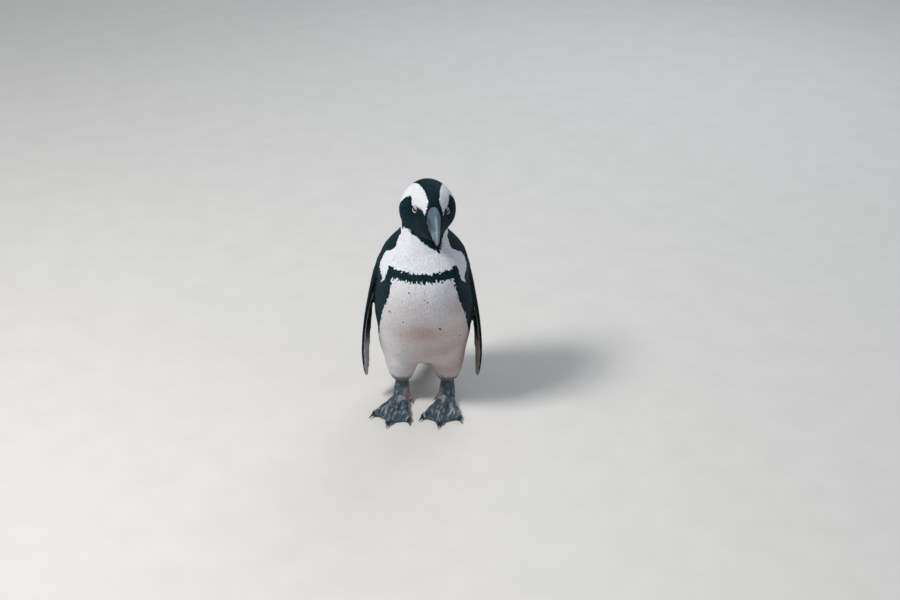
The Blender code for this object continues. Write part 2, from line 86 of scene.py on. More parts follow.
def read_off(table, at):
    """The value of a table of pairs at these places, straight between its rows."""
    keys, values = zip(*table)
    return np.interp(at, keys, values)


def in_head(points):
    """Points of the room in the head's own frame, in millimetres: left, forward, up."""
    local = (np.asarray(points) - np.array(HEAD_MIDDLE)) @ HEAD_AXES
    return local * (1000, -1000, 1000)


def round_body(points):
    """Height in millimetres, and the angle round the trunk from the breast, in degrees."""
    height = points[:, 2] * 1000
    middle = read_off(BODY_MIDDLES, height) * MM
    ahead = middle - points[:, 1]
    return height, np.degrees(np.arctan2(np.abs(points[:, 0] - BODY_X), ahead))


def eye_middle(side_name):
    """The middle of the eyeball's solid."""
    low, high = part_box("eye_" + side_name)
    return (low + high) / 2


# %% [markdown]
# ## Helpers for meshes
# A penguin is too soft a shape to build from boxes, so each piece starts as a copy of the solid
# that it stands for and is then worked finer with modifiers. These helpers do what the menus do:
# pick one object, merge its loose triangles, apply a modifier, join, and write an attribute.

# %% Picking, copying and applying
flesh_nodes = (
    "head", "neck", "trunk", "tail", "leg_left", "leg_right", "flipper_left", "flipper_right",
)


def pick(*objects):
    """Selects only these objects; the first is the active one."""
    bpy.ops.object.select_all(action="DESELECT")
    for item in objects:
        item.select_set(True)
    bpy.context.view_layer.objects.active = objects[0]


def edit(made, operator, **settings):
    """Runs an operator of edit mode on the whole of the object's mesh."""
    pick(made)
    bpy.ops.object.mode_set(mode="EDIT")
    bpy.ops.mesh.select_all(action="SELECT")
    operator(**settings)
    bpy.ops.object.mode_set(mode="OBJECT")


def linked(name, data):
    """A new object of the scene that holds this data."""
    made = bpy.data.objects.new(name, data)
    bpy.context.scene.collection.objects.link(made)
    return made


def mesh_object(name, points, faces):
    """A new object with a mesh of these points and faces."""
    mesh = bpy.data.meshes.new(name)
    mesh.from_pydata(points, [], faces)
    return linked(name, mesh)


def copy_of(node, name):
    """A copy of a solid with its loose triangles merged into one closed mesh."""
    made = linked(name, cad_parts[node].data.copy())
    made.data.materials.clear()
    edit(made, bpy.ops.mesh.remove_doubles, threshold=1e-6)
    edit(made, bpy.ops.mesh.customdata_custom_splitnormals_clear)
    return made


def apply(made, kind, **settings):
    """Adds a modifier with these settings and applies it."""
    pick(made)
    modifier = made.modifiers.new(kind.title(), kind)
    for name, value in settings.items():
        setattr(modifier, name, value)
    bpy.ops.object.modifier_apply(modifier=modifier.name)
    return made


def remeshed(made, voxel, passes):
    """Melts the mesh into an even one with cells of this size, and smooths it."""
    apply(made, "REMESH", mode="VOXEL", voxel_size=voxel)
    apply(made, "SMOOTH", factor=0.5, iterations=passes)


def joined(objects, name):
    """The objects as one, under this name."""
    pick(*objects)
    bpy.ops.object.join()
    made = bpy.context.view_layer.objects.active
    made.name = made.data.name = name
    return made


def read(items, field, width=1, kind=np.float32):
    """One field of a mesh's points, edges, faces or corners, as an array."""
    flat = np.empty(len(items) * width, kind)
    items.foreach_get(field, flat)
    return flat.reshape(-1, width) if width > 1 else flat


def points_of(mesh):
    """The mesh's vertices as an array."""
    return read(mesh.vertices, "co", 3).astype(float)


def set_points(mesh, points):
    """Moves the mesh's vertices to these places."""
    mesh.vertices.foreach_set("co", np.asarray(points, np.float32).ravel())
    mesh.update()


def normals_of(mesh):
    """The direction in which the surface faces at each vertex."""
    return read(mesh.vertex_normals, "vector", 3).astype(float)


def store(mesh, name, values, domain="POINT"):
    """Writes one number or one colour for each point, for a material to read."""
    values = np.asarray(values, np.float32)
    kind, field = ("FLOAT", "value") if values.ndim == 1 else ("FLOAT_COLOR", "color")
    mesh.attributes.new(name, kind, domain).data.foreach_set(field, values.ravel())


def unit(vectors):
    """The vectors at length one."""
    return vectors / np.maximum(np.linalg.norm(vectors, axis=-1, keepdims=True), 1e-12)


GRAIN_WAVES = 10


def grain(points, size, seed=0):
    """Soft random hills between -1 and 1, about this size in metres across."""
    drawn = np.random.default_rng(seed)
    total = np.zeros(len(points))
    for _ in range(GRAIN_WAVES):
        way = unit(drawn.normal(size=3))
        length = size * drawn.uniform(1.2, 3.0)
        total += np.sin(points @ way * (2 * math.pi / length) + drawn.uniform(0, 2 * math.pi))
    return total / math.sqrt(GRAIN_WAVES)


# %% [markdown]
# ## Helpers for materials
# Colours are chosen as the hex codes that a paint program shows, but the renderer adds up light,
# so one function turns them to linear. Another adds a node with its settings and links. Every
# material below is a short list of such nodes that ends in the Principled shader.

# %% Colours and nodes


def colour(code):
    """An sRGB hex code as a linear colour."""
    parts = [int(code[i : i + 2], 16) / 255 for i in (1, 3, 5)]
    linear = [c / 12.92 if c <= 0.04045 else ((c + 0.055) / 1.055) ** 2.4 for c in parts]
    return (*linear, 1)


def plug(tree, made, sockets):
    """Gives each socket of a node its value, or a link from another node's output."""
    for name, value in sockets.items():
        if isinstance(value, bpy.types.NodeSocket):
            tree.links.new(value, made.inputs[name])
        else:
            made.inputs[name].default_value = value


# A Mix node takes its share at socket 0 and its two colours at 6 and 7, and gives output 2.
def node(tree, kind, sockets=None, stops=(), **settings):
    """Adds a node with its settings and links. Stops are a ramp's places, with codes or greys."""
    made = tree.nodes.new("ShaderNode" + kind)
    for name, value in settings.items():
        setattr(made, name, value)
    plug(tree, made, sockets or {})
    elements = made.color_ramp.elements if stops else []
    while len(elements) < len(stops):
        elements.new(0.5)
    for element, (place, value) in zip(elements, stops):
        element.position = place
        element.color = colour(value) if isinstance(value, str) else (value, value, value, 1)
    return made


def new_material(name, **settings):
    """A material with a Principled shader; the settings are the shader's own sockets."""
    made = bpy.data.materials.new(name)
    made.use_nodes = True
    shader = made.node_tree.nodes["Principled BSDF"]
    for socket, value in settings.items():
        shader.inputs[socket.replace("_", " ")].default_value = value
    return made, made.node_tree, shader


def object_noise(tree, size_mm, detail=3.0, stretch=(1, 1, 1)):
    """Noise fixed to the model, whose hills are about this many millimetres across."""
    place = node(tree, "TexCoord").outputs["Object"]
    place = node(tree, "Mapping", {"Vector": place, "Scale": stretch}).outputs["Vector"]
    sockets = {"Vector": place, "Scale": 1 / (size_mm * MM), "Detail": detail}
    return node(tree, "TexNoise", sockets).outputs["Fac"]


# %% [markdown]
# ## Markings
# An adult has a black cap, back, face and throat, a white band that loops from the bill over
# the eye and down behind the cheek, a white front, and a narrow black band that crosses the
# breast and runs down each flank. Painting that by hand would need an image, so it is a rule. On
# the head, each side has two borders, given as angles from the cheek's middle in each direction
# round it. On the body, borders are angles round the trunk at each height. The same rule colours
# the skin and each feather, so both carry the same markings.

# %% Where the plumage is white
CHEEK_CENTRE_UP = -4  # the skull's centre for these angles lies this far below its middle, mm
# Direction round the cheek (0 forward, 90 up, 180 back), and how far the black face reaches.
FACE_REAR = (
    (135, 16), (160, 15), (180, 16), (215, 23), (244, 35), (262, 43), (281, 44), (345, 60),
    (346, 120), (360, 120),
)
FACE_BORDER = (
    (0, 120), (19, 120), (20, 75), (26, 72), (32.5, 67.5), (37, 61), (40, 51.5), (41.5, 43),
    (45, 39), (53, 38), (66, 39.5), (82, 41.5), (85.5, 42), (90, 33), (96, 28), (111, 20),
    *FACE_REAR,
)
# On the bird's left the white band is narrower over the eye.
FACE_BORDER_LEFT = (
    (0, 120), (19, 120), (20, 69), (26, 66), (34, 63.5), (41, 57.5), (45, 53), (52, 49.5),
    (67, 47.5), (82, 46.5), (91, 45), (96, 38), (106, 27), (118, 19), *FACE_REAR,
)
# Where the black throat ends on the front of the neck: how far left, and the height there, mm.
# It slants, as the head is turned to the left over the breast.
THROAT_EDGE = (
    (-40, 306), (-27.5, 306), (-23.4, 309), (-17.5, 310), (-8.9, 305.6), (1.3, 297.7),
    (11.5, 291.6), (20, 286.4), (27.6, 281), (30, 284), (31.5, 293), (34, 300), (42, 304),
    (50, 306),
)
THROAT_TURNS = (281, 346)  # the edge holds between these directions round the cheek
THROAT_SIDE = (240, 58)  # and from this one on, further than this from the cheek's middle
# The same for the black cap's edge, on the far side of the white band.
CAP_REAR = ((146, 58), (175, 57), (200, 60), (233, 66), (255, 78), (268, 120), (360, 120))
CAP_BORDER = (
    (0, 74), (20, 74), (26, 75.5), (36, 77.5), (47, 79.5), (60, 77.5), (72, 74), (84, 71),
    (97, 68), (118, 63), *CAP_REAR,
)
CAP_BORDER_LEFT = (
    (0, 69), (20, 69), (25, 70), (34, 73), (41, 75.5), (50, 77.5), (60, 77), (72, 74), (89, 71),
    (97, 68), (118, 64), *CAP_REAR,
)
# Height in millimetres, and the angle at which the black of the back and shoulder begins.
BACK_BORDER = (
    (40, 150), (60, 138), (75, 124), (95, 108), (120, 95), (150, 84), (180, 75), (210, 67),
    (225, 63), (233, 60), (238, 56), (243, 62), (248, 70), (256, 73), (264, 75), (270, 73),
    (275, 63), (279, 58), (283, 60), (288, 68), (295, 70), (305, 73),
)
# The black stripe down each flank, between these two angles at each height.
STRIPE_HEIGHTS = (114, 262)
STRIPE_INNER = (
    (112, 78), (120, 71), (130, 66), (146, 60.5), (163, 54.5), (181, 50), (204, 43.5),
    (221, 40.5), (239, 38),
)
STRIPE_OUTER = (
    (112, 78), (120, 82), (130, 84), (146, 82), (163, 78), (181, 76), (204, 72), (222, 68),
    (230, 60), (238, 51), (250, 48), (262, 47),
)
# Angle round the trunk, and the height of the breast band's lower and upper edge.
BAND_LOW = ((0, 246.3), (20, 247.2), (30, 248.5), (38, 246.0), (44, 238), (48, 230))
BAND_HIGH = ((0, 258.7), (20, 259.5), (35, 260.5), (48, 260.0), (60, 252))
BAND_END = 48  # degrees
# Angle round the trunk, and how high the black of the back reaches there.
BACK_TOP = ((0, 300), (70, 301), (85, 304), (100, 310), (120, 320), (150, 335), (180, 342))
THROAT_REACH = 71  # the black throat ends this far from the skull's middle, mm
HEAD_LOW = 262  # and the whole head's black at this height, mm
# All of the chin is black within this distance, which depends on the direction round the cheek.
CHIN_REACH = ((250, 41), (300, 41), (322, 46), (336, 58), (345, 64))
CHIN_SIDE = (250, 52)  # the chin's first direction, and least angle from the cheek's middle
# How far down the side of the neck the white loop runs, till it meets the white breast, mm.
LOOP_REACH = ((149, 0), (150, 60), (240, 60), (265, 54), (280, 51), (292, 48), (293, 0))
# Small black feathers strewn on the belly: height, and how far to the bird's left, mm.
BELLY_SPOTS = ((221, 2), (217, 6), (164, 24), (138, 54), (190, -48), (232, -20), (176, -30))
SPOT_RADIUS, SPOT_TURN = 1.5, 60  # mm, and how far round from the breast, in degrees
TAIL_BEHIND, TAIL_HIGH = 0.074, 110  # all is black behind this (m) and under this (mm)
NEAR_SKULL, TRUNK_RADIUS = 20, 65  # mm, to turn a border's roughness into an angle


def head_angles(points):
    """Direction round the cheek, angle from its middle, and distance, in degrees and mm."""
    local = in_head(points) - (0, 0, CHEEK_CENTRE_UP)
    far = np.linalg.norm(local, axis=1)
    away = np.degrees(np.arccos(np.clip(np.abs(local[:, 0]) / far, 0, 1)))
    turn = np.degrees(np.arctan2(local[:, 2], local[:, 1])) % 360
    return turn, away, far


def is_black(points, rough=0.0):
    """True where the plumage is black; rough shifts each point's borders a little."""
    turn, away, far = head_angles(points)
    height, angle = round_body(points)
    shift = rough / np.maximum(far, NEAR_SKULL) * RADIAN
    throat = turn < THROAT_TURNS[1]
    under_chin = (turn > THROAT_TURNS[0]) | ((turn > THROAT_SIDE[0]) & (away > THROAT_SIDE[1]))
    in_throat = height - 1.3 * rough > read_off(THROAT_EDGE, points[:, 0] * 1000)
    on_left = in_head(points)[:, 0] > 0
    face = np.where(on_left, read_off(FACE_BORDER_LEFT, turn), read_off(FACE_BORDER, turn))
    cap = np.where(on_left, read_off(CAP_BORDER_LEFT, turn), read_off(CAP_BORDER, turn))
    in_face = np.where(under_chin & throat, in_throat, away + shift < face)
    in_chin = (turn > CHIN_SIDE[0]) & throat & (away > CHIN_SIDE[1])
    in_face |= in_chin & (far < read_off(CHIN_REACH, turn))
    in_cap = away + shift > cap
    head = (in_face | in_cap) & (far + rough < THROAT_REACH) & (height > HEAD_LOW)
    loop = ~in_face & ~in_cap & (far < read_off(LOOP_REACH, turn))
    turned = rough / TRUNK_RADIUS * RADIAN
    back = (angle + turned > read_off(BACK_BORDER, height)) & ~loop
    back &= height + rough < read_off(BACK_TOP, angle)
    stripe = (height > STRIPE_HEIGHTS[0]) & (height < STRIPE_HEIGHTS[1])
    stripe &= angle + turned > read_off(STRIPE_INNER, height)
    stripe &= angle - turned < read_off(STRIPE_OUTER, height)
    band = (height + 1.6 * rough > read_off(BAND_LOW, angle)) & (angle < BAND_END)
    band &= height - 1.6 * rough < read_off(BAND_HIGH, angle)
    spots = np.zeros(len(points), bool)
    for up, left in BELLY_SPOTS:
        off = np.hypot(height - up, (points[:, 0] - BODY_X) * 1000 - left)
        spots |= (off < SPOT_RADIUS) & (angle < SPOT_TURN)
    tail = (points[:, 1] > TAIL_BEHIND) & (height < TAIL_HIGH)
    return head | back | stripe | band | spots | tail


HEM_GREY, HEM_HEIGHTS = 0.72, (43, 56)  # greyest below the first height, mm
DIRT_AND_SHADE_HEIGHTS = (150, 262)  # most dirt and painted shade below the first height, mm
DIRT_AND_SHADE_SIDES = (-0.055, 0.015)  # and it grows from the bird's right to its left between these, partly as painted shade


def hem_grey(points):
    """How grey the white plumage is at the lower edge of the thighs, from 0 to 1."""
    height = points[:, 2] * 1000
    ragged = height + 2.5 * grain(points, 0.006, 9)
    return HEM_GREY * (1 - smooth_step(*HEM_HEIGHTS, ragged))


def dirt_and_shade_of(points):
    """How much the white plumage is dirtied, from 0 to 1: most on the belly. It is real dirt
    together with painted shade and a painted warm reflection from the ground.
    """
    low = 1 - smooth_step(*DIRT_AND_SHADE_HEIGHTS, round_body(points)[0])
    leftwards = smooth_step(*DIRT_AND_SHADE_SIDES, points[:, 0])
    patches = smooth_step(-1.2, 1.6, grain(points, 0.035, 5))
    return np.clip((0.10 + 0.90 * low) * (0.5 + 0.5 * leftwards) * (0.6 + 0.4 * patches), 0, 1)


BARE_LINE = ((30, 15.6), (25, 15.0), (20, 13.0))  # forward and up from the skull's middle, mm
BARE_HALF_WIDTH = 1.1  # mm
BARE_SIDE, BARE_FAR = 8, 60  # only this far out from the skull's middle plane, and this near, mm


def bare_share(points):
    """1 on the naked pink skin over the eye, 0 off it."""
    local = in_head(points)
    spot = local[:, 1:]
    near = np.full(len(local), np.inf)
    for start, end in zip(BARE_LINE, BARE_LINE[1:]):
        start, run = np.array(start, float), np.array(end, float) - start
        along = np.clip(((spot - start) @ run) / (run @ run), 0, 1)
        near = np.minimum(near, np.linalg.norm(spot - start - along[:, None] * run, axis=1))
    near[(np.abs(local[:, 0]) < BARE_SIDE) | (np.linalg.norm(local, axis=1) > BARE_FAR)] = np.inf
    return 1 - smooth_step(BARE_HALF_WIDTH - 0.6, BARE_HALF_WIDTH + 0.9, near)


# %% [markdown]
# ## The skin
# A mounted bird is one skin drawn over a form, so head, neck, trunk, tail, legs and flippers
# become a single mesh: copies swollen by a hair so that they touch, a voxel remesh
# that melts them together, some smoothing, and then every point pulled in by the depth of
# the feathers that will stand on it. Eyes and the roots of the bill go in as well, so that no
# hole is left round them; they end up hidden under the real eyes and bill.

# %% Melt the flesh into one skin
SWELL = 0.0003
SKIN_VOXEL = 0.0018
COAT_DEPTH = {  # mm
    "head": 1.2, "eye": 1.2, "bill": 1.2, "neck": 2.0, "trunk": 2.2, "tail": 2.2, "leg": 2.0,
    "flipper": 0.6,
}
SKIN_FLOOR = 0.0008  # the skin reaches no lower than this
THIGH_LOW, THIGH_HIGH = (0.052, 0.066), (0.098, 0.125)  # heights where thighs fade into the trunk
SOCKET = 0.14  # share by which the skin sinks under each eyeball
SOCKET_EDGE = (0.0066, 0.0078)  # from the eyeball's middle
BILL_ROOT_ENDS = 0.056  # the bill is cut off here for the skin, forward of the skull's middle

forward = HEAD_TURN @ Vector((0, -1, 0))
parts = []
for name in (*flesh_nodes, "eye_left", "eye_right", "bill_upper", "bill_lower"):
    part = copy_of(name, "part_" + name)
    if name.startswith("bill"):
        root_end = HEAD_MIDDLE + forward * BILL_ROOT_ENDS
        cut = {"plane_co": root_end, "plane_no": forward, "clear_outer": True, "use_fill": True}
        edit(part, bpy.ops.mesh.bisect, **cut)
    apply(part, "DISPLACE", strength=SWELL, mid_level=0)
    parts.append(part)

surface_points, surface_faces, surface_owner = [], [], []
for part in parts:
    offset = len(surface_points)
    surface_points.extend(vert.co.copy() for vert in part.data.vertices)
    for face in part.data.polygons:
        surface_faces.append([offset + i for i in face.vertices])
        surface_owner.append(part.name.split("_")[1])
solid_surface = BVHTree.FromPolygons(surface_points, surface_faces)

skin = joined(parts, "skin")
remeshed(skin, SKIN_VOXEL, 6)
print("skin:", len(skin.data.polygons), "faces")

# %% Pull it in by the coat's depth
skin_points = points_of(skin.data)
nearest = [solid_surface.find_nearest(point)[2] for point in skin_points]
owner = np.array([surface_owner[face] for face in nearest])
depth = np.array([COAT_DEPTH[kind] for kind in owner]) * MM
edges = read(skin.data.edges, "vertices", 2, np.int64)


def evened(values, passes):
    """Each point's value drawn towards its neighbours', to hide steps."""
    count = np.bincount(edges.ravel(), minlength=len(values))
    for _ in range(passes):
        total = np.bincount(edges[:, 0], values[edges[:, 1]], len(values))
        total += np.bincount(edges[:, 1], values[edges[:, 0]], len(values))
        values = 0.5 * values + 0.5 * total / count
    return values


depth = evened(depth, 6)
skin_points = skin_points - normals_of(skin.data) * (depth + SWELL)[:, None]
skin_points[:, 2] = np.maximum(skin_points[:, 2], SKIN_FLOOR)
softened = np.stack([evened(skin_points[:, axis], 60) for axis in range(3)], axis=1)
thigh = smooth_step(*THIGH_LOW, skin_points[:, 2])
thigh *= 1 - smooth_step(*THIGH_HIGH, skin_points[:, 2])
thigh *= np.isin(owner, ("leg", "trunk"))
skin_points += (softened - skin_points) * evened(thigh, 20)[:, None]
set_points(skin.data, skin_points)
apply(skin, "SMOOTH", factor=0.4, iterations=2)
skin_points = points_of(skin.data)
for side_name in SIDES:
    off = skin_points - np.array(eye_middle(side_name))
    near = 1 - smooth_step(*SOCKET_EDGE, np.linalg.norm(off, axis=1))
    skin_points -= off * (SOCKET * near)[:, None]
set_points(skin.data, skin_points)
skin.data.shade_smooth()
skin_points, skin_normals = points_of(skin.data), normals_of(skin.data)
print("skin pulled in by", round(depth.min() / MM, 1), "to", round(depth.max() / MM, 1), "mm")

# %% [markdown]
# ## Where each feather goes
# Feathers are too many to place by hand, so they are scattered: random spots on the skin are
# tried one after another, and a spot is kept if no other is nearer than the spacing. That gives
# the even but unruled look of plumage. Each piece of the coat takes one region of
# the skin, which is also unwrapped on its own, so that every feather knows its place on a flat
# pattern of the skin.

# %% The skin's faces and a tree to find them by
WAIST = 165  # mm; the trunk's coat is made in an upper and a lower half
FRONT = 95  # degrees round from the breast; and in a front and a rear half
skin_faces = read(skin.data.loops, "vertex_index", 1, np.int64).reshape(-1, 4)
face_middles = skin_points[skin_faces].mean(axis=1)
face_normals = unit(skin_normals[skin_faces].sum(axis=1))
skin_tree = BVHTree.FromPolygons(skin_points.tolist(), skin_faces.tolist())
face_owner = owner[skin_faces[:, 0]]
face_height, face_angle = round_body(face_middles)
on_trunk = face_owner == "trunk"
on_head = np.isin(face_owner, ("head", "eye", "bill"))
in_front = face_angle < FRONT
on_flipper = face_owner == "flipper"
regions = {
    "coat_head_left": on_head & (face_middles[:, 0] > HEAD_MIDDLE.x),
    "coat_head_right": on_head & (face_middles[:, 0] <= HEAD_MIDDLE.x),
    "coat_neck": face_owner == "neck",
    "coat_breast": on_trunk & in_front & (face_height > WAIST),
    "coat_belly": on_trunk & in_front & (face_height <= WAIST),
    "coat_back": on_trunk & ~in_front & (face_height > WAIST),
    "coat_rump": on_trunk & ~in_front & (face_height <= WAIST),
    "coat_legs": face_owner == "leg",
    "coat_tail": face_owner == "tail",
    "coat_flipper_left": on_flipper & (face_middles[:, 0] > 0),
    "coat_flipper_right": on_flipper & (face_middles[:, 0] < 0),
}
for name, chosen in regions.items():
    print(name, int(chosen.sum()), "faces of skin")

# %% Marks of the flippers
FLIPPER_LEVELS = np.arange(42, 262, 4.0)  # mm
INNER_SHADOW_HEIGHTS = (92, 122)  # the inner face is pale below the first height and painted black above as shadow, mm
RIM = (2.2, 3.0)  # behind the black front edge of the inner face, mm
PALE_LINE = (6.0, 7.5)  # where the pale line behind that edge ends, mm
WHITE_REAR = 1.7  # width of the white rear edge, mm


def flipper_rows(side):
    """At each height in millimetres, where the flipper's front and back edge are."""
    blade = skin_points[(owner == "flipper") & (skin_points[:, 0] * side > 0)] * 1000
    rows = []
    for level in FLIPPER_LEVELS:
        near = blade[np.abs(blade[:, 2] - level) < 4]
        if len(near) > 12:
            rows.append((level, near[:, 1].min(), near[:, 1].max()))
    return np.array(rows).T


def flipper_white(points, facings, rough=0.0):
    """White share on a flipper: black outside, pale along the edges and low down inside.
    Higher up the inside is painted black as shadow, and its pale is greyed as painted shade.
    """
    white = np.zeros(len(points))
    for side, (level, front, back) in flipper_edges.items():
        here = points * 1000
        height = here[:, 2]
        inside = smooth_step(-0.15, 0.12, -side * facings[:, 0])
        behind = here[:, 1] - np.interp(height, level, front) + rough
        before = np.interp(height, level, back) - here[:, 1] + 0.5 * rough
        low = 1 - smooth_step(*INNER_SHADOW_HEIGHTS, height + 3 * grain(points, 0.011, 8))
        line = 0.75 * (1 - smooth_step(*PALE_LINE, behind))
        # Where it is pale the inside is greyed, a painted shade; above it is painted black as
        # shadow.
        share = np.maximum(line, (0.74 - 0.1 * grain(points, 0.005, 3)) * low)
        share = np.maximum(
            inside * smooth_step(*RIM, behind + 1.2 * low) * share, 0.9 * (before < WHITE_REAR)
        )
        white = np.where(here[:, 0] * side > 0, share, white)
    return np.clip(white, 0, 1)


flipper_edges = {side: flipper_rows(side) for side in (-1, 1)}
print("flippers are marked over", len(flipper_edges[1][0]), "levels")

# %% Flat patterns of the skin
BAKE_MAP = "OFBake"


def unwrapped(target):
    """Lays the object's faces out flat in a UV map that fills its square."""
    target.data.uv_layers.new(name=BAKE_MAP)
    settings = {"angle_limit": math.radians(66), "island_margin": 0.004, "scale_to_bounds": True}
    edit(target, bpy.ops.uv.smart_project, **settings)
    return read(target.data.uv_layers[BAKE_MAP].data, "uv", 2)


def flat_pattern(chosen):
    """The corners of these faces of the skin on a pattern of their own."""
    pattern = mesh_object("pattern", skin_points.tolist(), skin_faces[chosen].tolist())
    corners = unwrapped(pattern).reshape(-1, 4, 2)
    bpy.data.objects.remove(pattern)
    return corners


# %% Scatter the roots
TRIES = 7  # spots tried for each one that would fit
FIT = 0.7  # of the spots that the spacing allows for, this share fits when placed at random
BLOCK = [(i, j, k) for i in (-1, 0, 1) for j in (-1, 0, 1) for k in (-1, 0, 1)]


def within(corners, a, b):
    """The places at these shares along and across each four-cornered face."""
    near = corners[:, 0] * (1 - a) + corners[:, 1] * a
    far = corners[:, 3] * (1 - a) + corners[:, 2] * a
    return near * (1 - b) + far * b


def scattered(chosen, on_face, spacing, drawn):
    """Places on these faces, none nearer to another than the spacing, with their UVs."""
    ids = np.flatnonzero(chosen)
    quads = skin_points[skin_faces[ids]]
    cross = np.cross(quads[:, 2] - quads[:, 0], quads[:, 3] - quads[:, 1])
    areas = np.linalg.norm(cross, axis=1) / 2
    gaps = np.full(len(ids), spacing)
    if on_face:
        gaps += (FACE_SPACING * MM - spacing) * face_nearness(face_middles[ids])
    wanted = areas / gaps**2
    count = int(wanted.sum() * TRIES * FIT)
    tried = drawn.choice(len(ids), count, p=wanted / wanted.sum())
    a, b = drawn.random((2, count, 1))
    spots = within(quads[tried], a, b)
    keys = np.floor(spots / gaps.max()).astype(int).tolist()
    limits = (gaps[tried] ** 2).tolist()
    held, kept = {}, []
    for index, (x, y, z) in enumerate(spots.tolist()):
        i, j, k = keys[index]
        crowded = any(
            (x - u) ** 2 + (y - v) ** 2 + (z - w) ** 2 < limits[index]
            for di, dj, dk in BLOCK
            for u, v, w in held.get((i + di, j + dj, k + dk), ())
        )
        if not crowded:
            held.setdefault((i, j, k), []).append((x, y, z))
            kept.append(index)
    return spots[kept], within(flat_pattern(chosen)[tried[kept]], a[kept], b[kept])


# %% [markdown]
# ## How the feathers lie
# On the head they point away from the bill, over the crown and down the cheeks. On a flipper they
# follow its two edges, and everywhere else they hang down and a little back. A feather walks over
# the skin in a few steps, and at each step it drops back to the nearest point of the skin, so it
# hugs every hollow.

# %% The lie of the coat
BILL_BASE = np.array(HEAD @ Vector((0, -0.052, 0.009)))
BACKWARDS = {"tail": 0.6}  # slope of the lie to the rear, for each step down
BODY_BACKWARDS = 0.28
STEEPEST = 0.8  # of those slopes on a flipper
HEAD_ENDS = (0.046, 0.080)  # where the head's lie turns into the body's, from the skull's middle


def along_flipper(points):
    """The slope to the rear that keeps a flipper's feathers parallel to both its edges."""
    slope, height = np.zeros(len(points)), points[:, 2] * 1000
    for side, (level, front, back) in flipper_edges.items():
        ahead, behind = np.interp(height, level, front), np.interp(height, level, back)
        across = np.clip((points[:, 1] * 1000 - ahead) / np.maximum(behind - ahead, 1), 0, 1)
        leads = np.interp(height, level, np.gradient(front, level))
        trails = np.interp(height, level, np.gradient(back, level))
        here = -(leads * (1 - across) + trails * across)
        slope = np.where(points[:, 0] * side > 0, here, slope)
    return np.clip(slope, -STEEPEST, STEEPEST)


def lie_of(points, normals, backwards):
    """The direction in which the coat lies, along the surface."""
    away = unit(points - BILL_BASE)
    far = np.linalg.norm(points - np.array(HEAD_MIDDLE), axis=1)
    on_head = (1 - smooth_step(*HEAD_ENDS, far))[:, None]
    down = np.zeros_like(points)
    down[:, 1], down[:, 2] = backwards, -1
    way = away * on_head + down * (1 - on_head)
    way -= normals * (way * normals).sum(axis=1)[:, None]
    return unit(way)


def on_skin(points):
    """The nearest places on the skin, and the way it faces there."""
    found = [skin_tree.find_nearest(point) for point in points.tolist()]
    places = np.array([hit[0] for hit in found])
    return places, face_normals[[hit[2] for hit in found]]


# %% [markdown]
# ## One feather
# Seen close, a body feather is a short flat blade with a rounded tip that rides on the next ones.
# Its mesh has three columns on top (left edge, shaft, right edge), a flat underside
# and a pointed end: 13 points and 22 triangles, closed all round. All feathers of
# a piece are made at once, by doing each step of the arithmetic on the whole list.

# %% Blades from their middle lines
STEPS = (0.0, 0.32, 0.64, 0.87, 1.0)  # rows along a body feather, as shares of its length
WIDTHS = (0.55, 0.95, 1.00, 0.78, 0.0)  # of its width; it ends in a single point
RISES = (-0.15, 0.58, 0.86, 0.97, 1.0)  # height over the skin, of the coat's depth
CAMBER = 0.035  # how far the shaft stands over the edges, of the width
VANE = 0.00012  # and on top of that the blade's own thickness
PATCH = 0.003  # a feather's width on the flat pattern
ROUND = ((0, 1), (1, 2), (2, 0))  # from left edge to shaft, to right edge, and back underneath


def blades(name, middles, ways, normals, width, widths, steps):
    """Closed blades: arrays of middle line, direction and facing, one row for each step."""
    count, rows = len(middles), len(steps) - 1
    across = np.cross(ways, normals) * (width[:, None] * np.array(widths) / 2)[:, :, None]
    shaft = middles + normals * (width * CAMBER + VANE)[:, None, None]
    columns = np.stack((middles - across, shaft, middles + across), axis=2)[:, :rows]
    verts = np.concatenate((columns.reshape(count, 3 * rows, 3), middles[:, -1:]), axis=1)
    tip = 3 * rows
    pattern = [
        (row + a, row + b, row + b + 3, row + a + 3)
        for row in range(0, tip - 3, 3)
        for a, b in ROUND
    ]
    pattern += [(tip - 3 + a, tip - 3 + b, tip) for a, b in ROUND] + [(0, 2, 1)]
    starts = range(0, (tip + 1) * count, tip + 1)
    faces = [tuple(start + i for i in face) for start in starts for face in pattern]
    made = mesh_object(name, verts.reshape(-1, 3).tolist(), faces)
    made.data.shade_smooth()
    made.data.set_sharp_from_angle(angle=math.radians(60))
    return made, verts


def mark_blades(made, verts, steps, uv, length, white, shade, soil):
    """Writes each blade's colour and shade, and its place on the flat patterns."""
    mesh, each = made.data, verts.shape[1]
    rows = each // 3
    along = np.append(np.repeat(steps[:rows], 3), steps[-1])
    across = np.append(np.tile((0.0, 0.5, 1.0), rows), 0.5)
    feather = np.broadcast_arrays(white[:, None], shade[:, None], along, 1.0)
    store(mesh, "feather", np.stack(feather, axis=2).reshape(-1, 4))
    # dirt with painted shade and a painted warm reflection from the ground, for each blade
    store(mesh, "soil", np.repeat(soil, each))
    corners = read(mesh.loops, "vertex_index", 1, np.int64)
    lower = along - 0.1 * (np.arange(each) == 1)  # keeps the root's end face from having no width
    flat = np.stack((across - 0.5, lower - 0.5), axis=1) * PATCH
    edge = PATCH * 0.65
    patches = np.clip(uv, edge, 1 - edge)[:, None] + flat
    vane = np.stack(np.broadcast_arrays(across, along * (length / MM)[:, None]), axis=2)
    for map_name, values in ((BAKE_MAP, patches), ("Blade", vane)):
        layer = mesh.uv_layers.new(name=map_name)
        layer.data.foreach_set("uv", values.reshape(-1, 2)[corners].astype(np.float32).ravel())


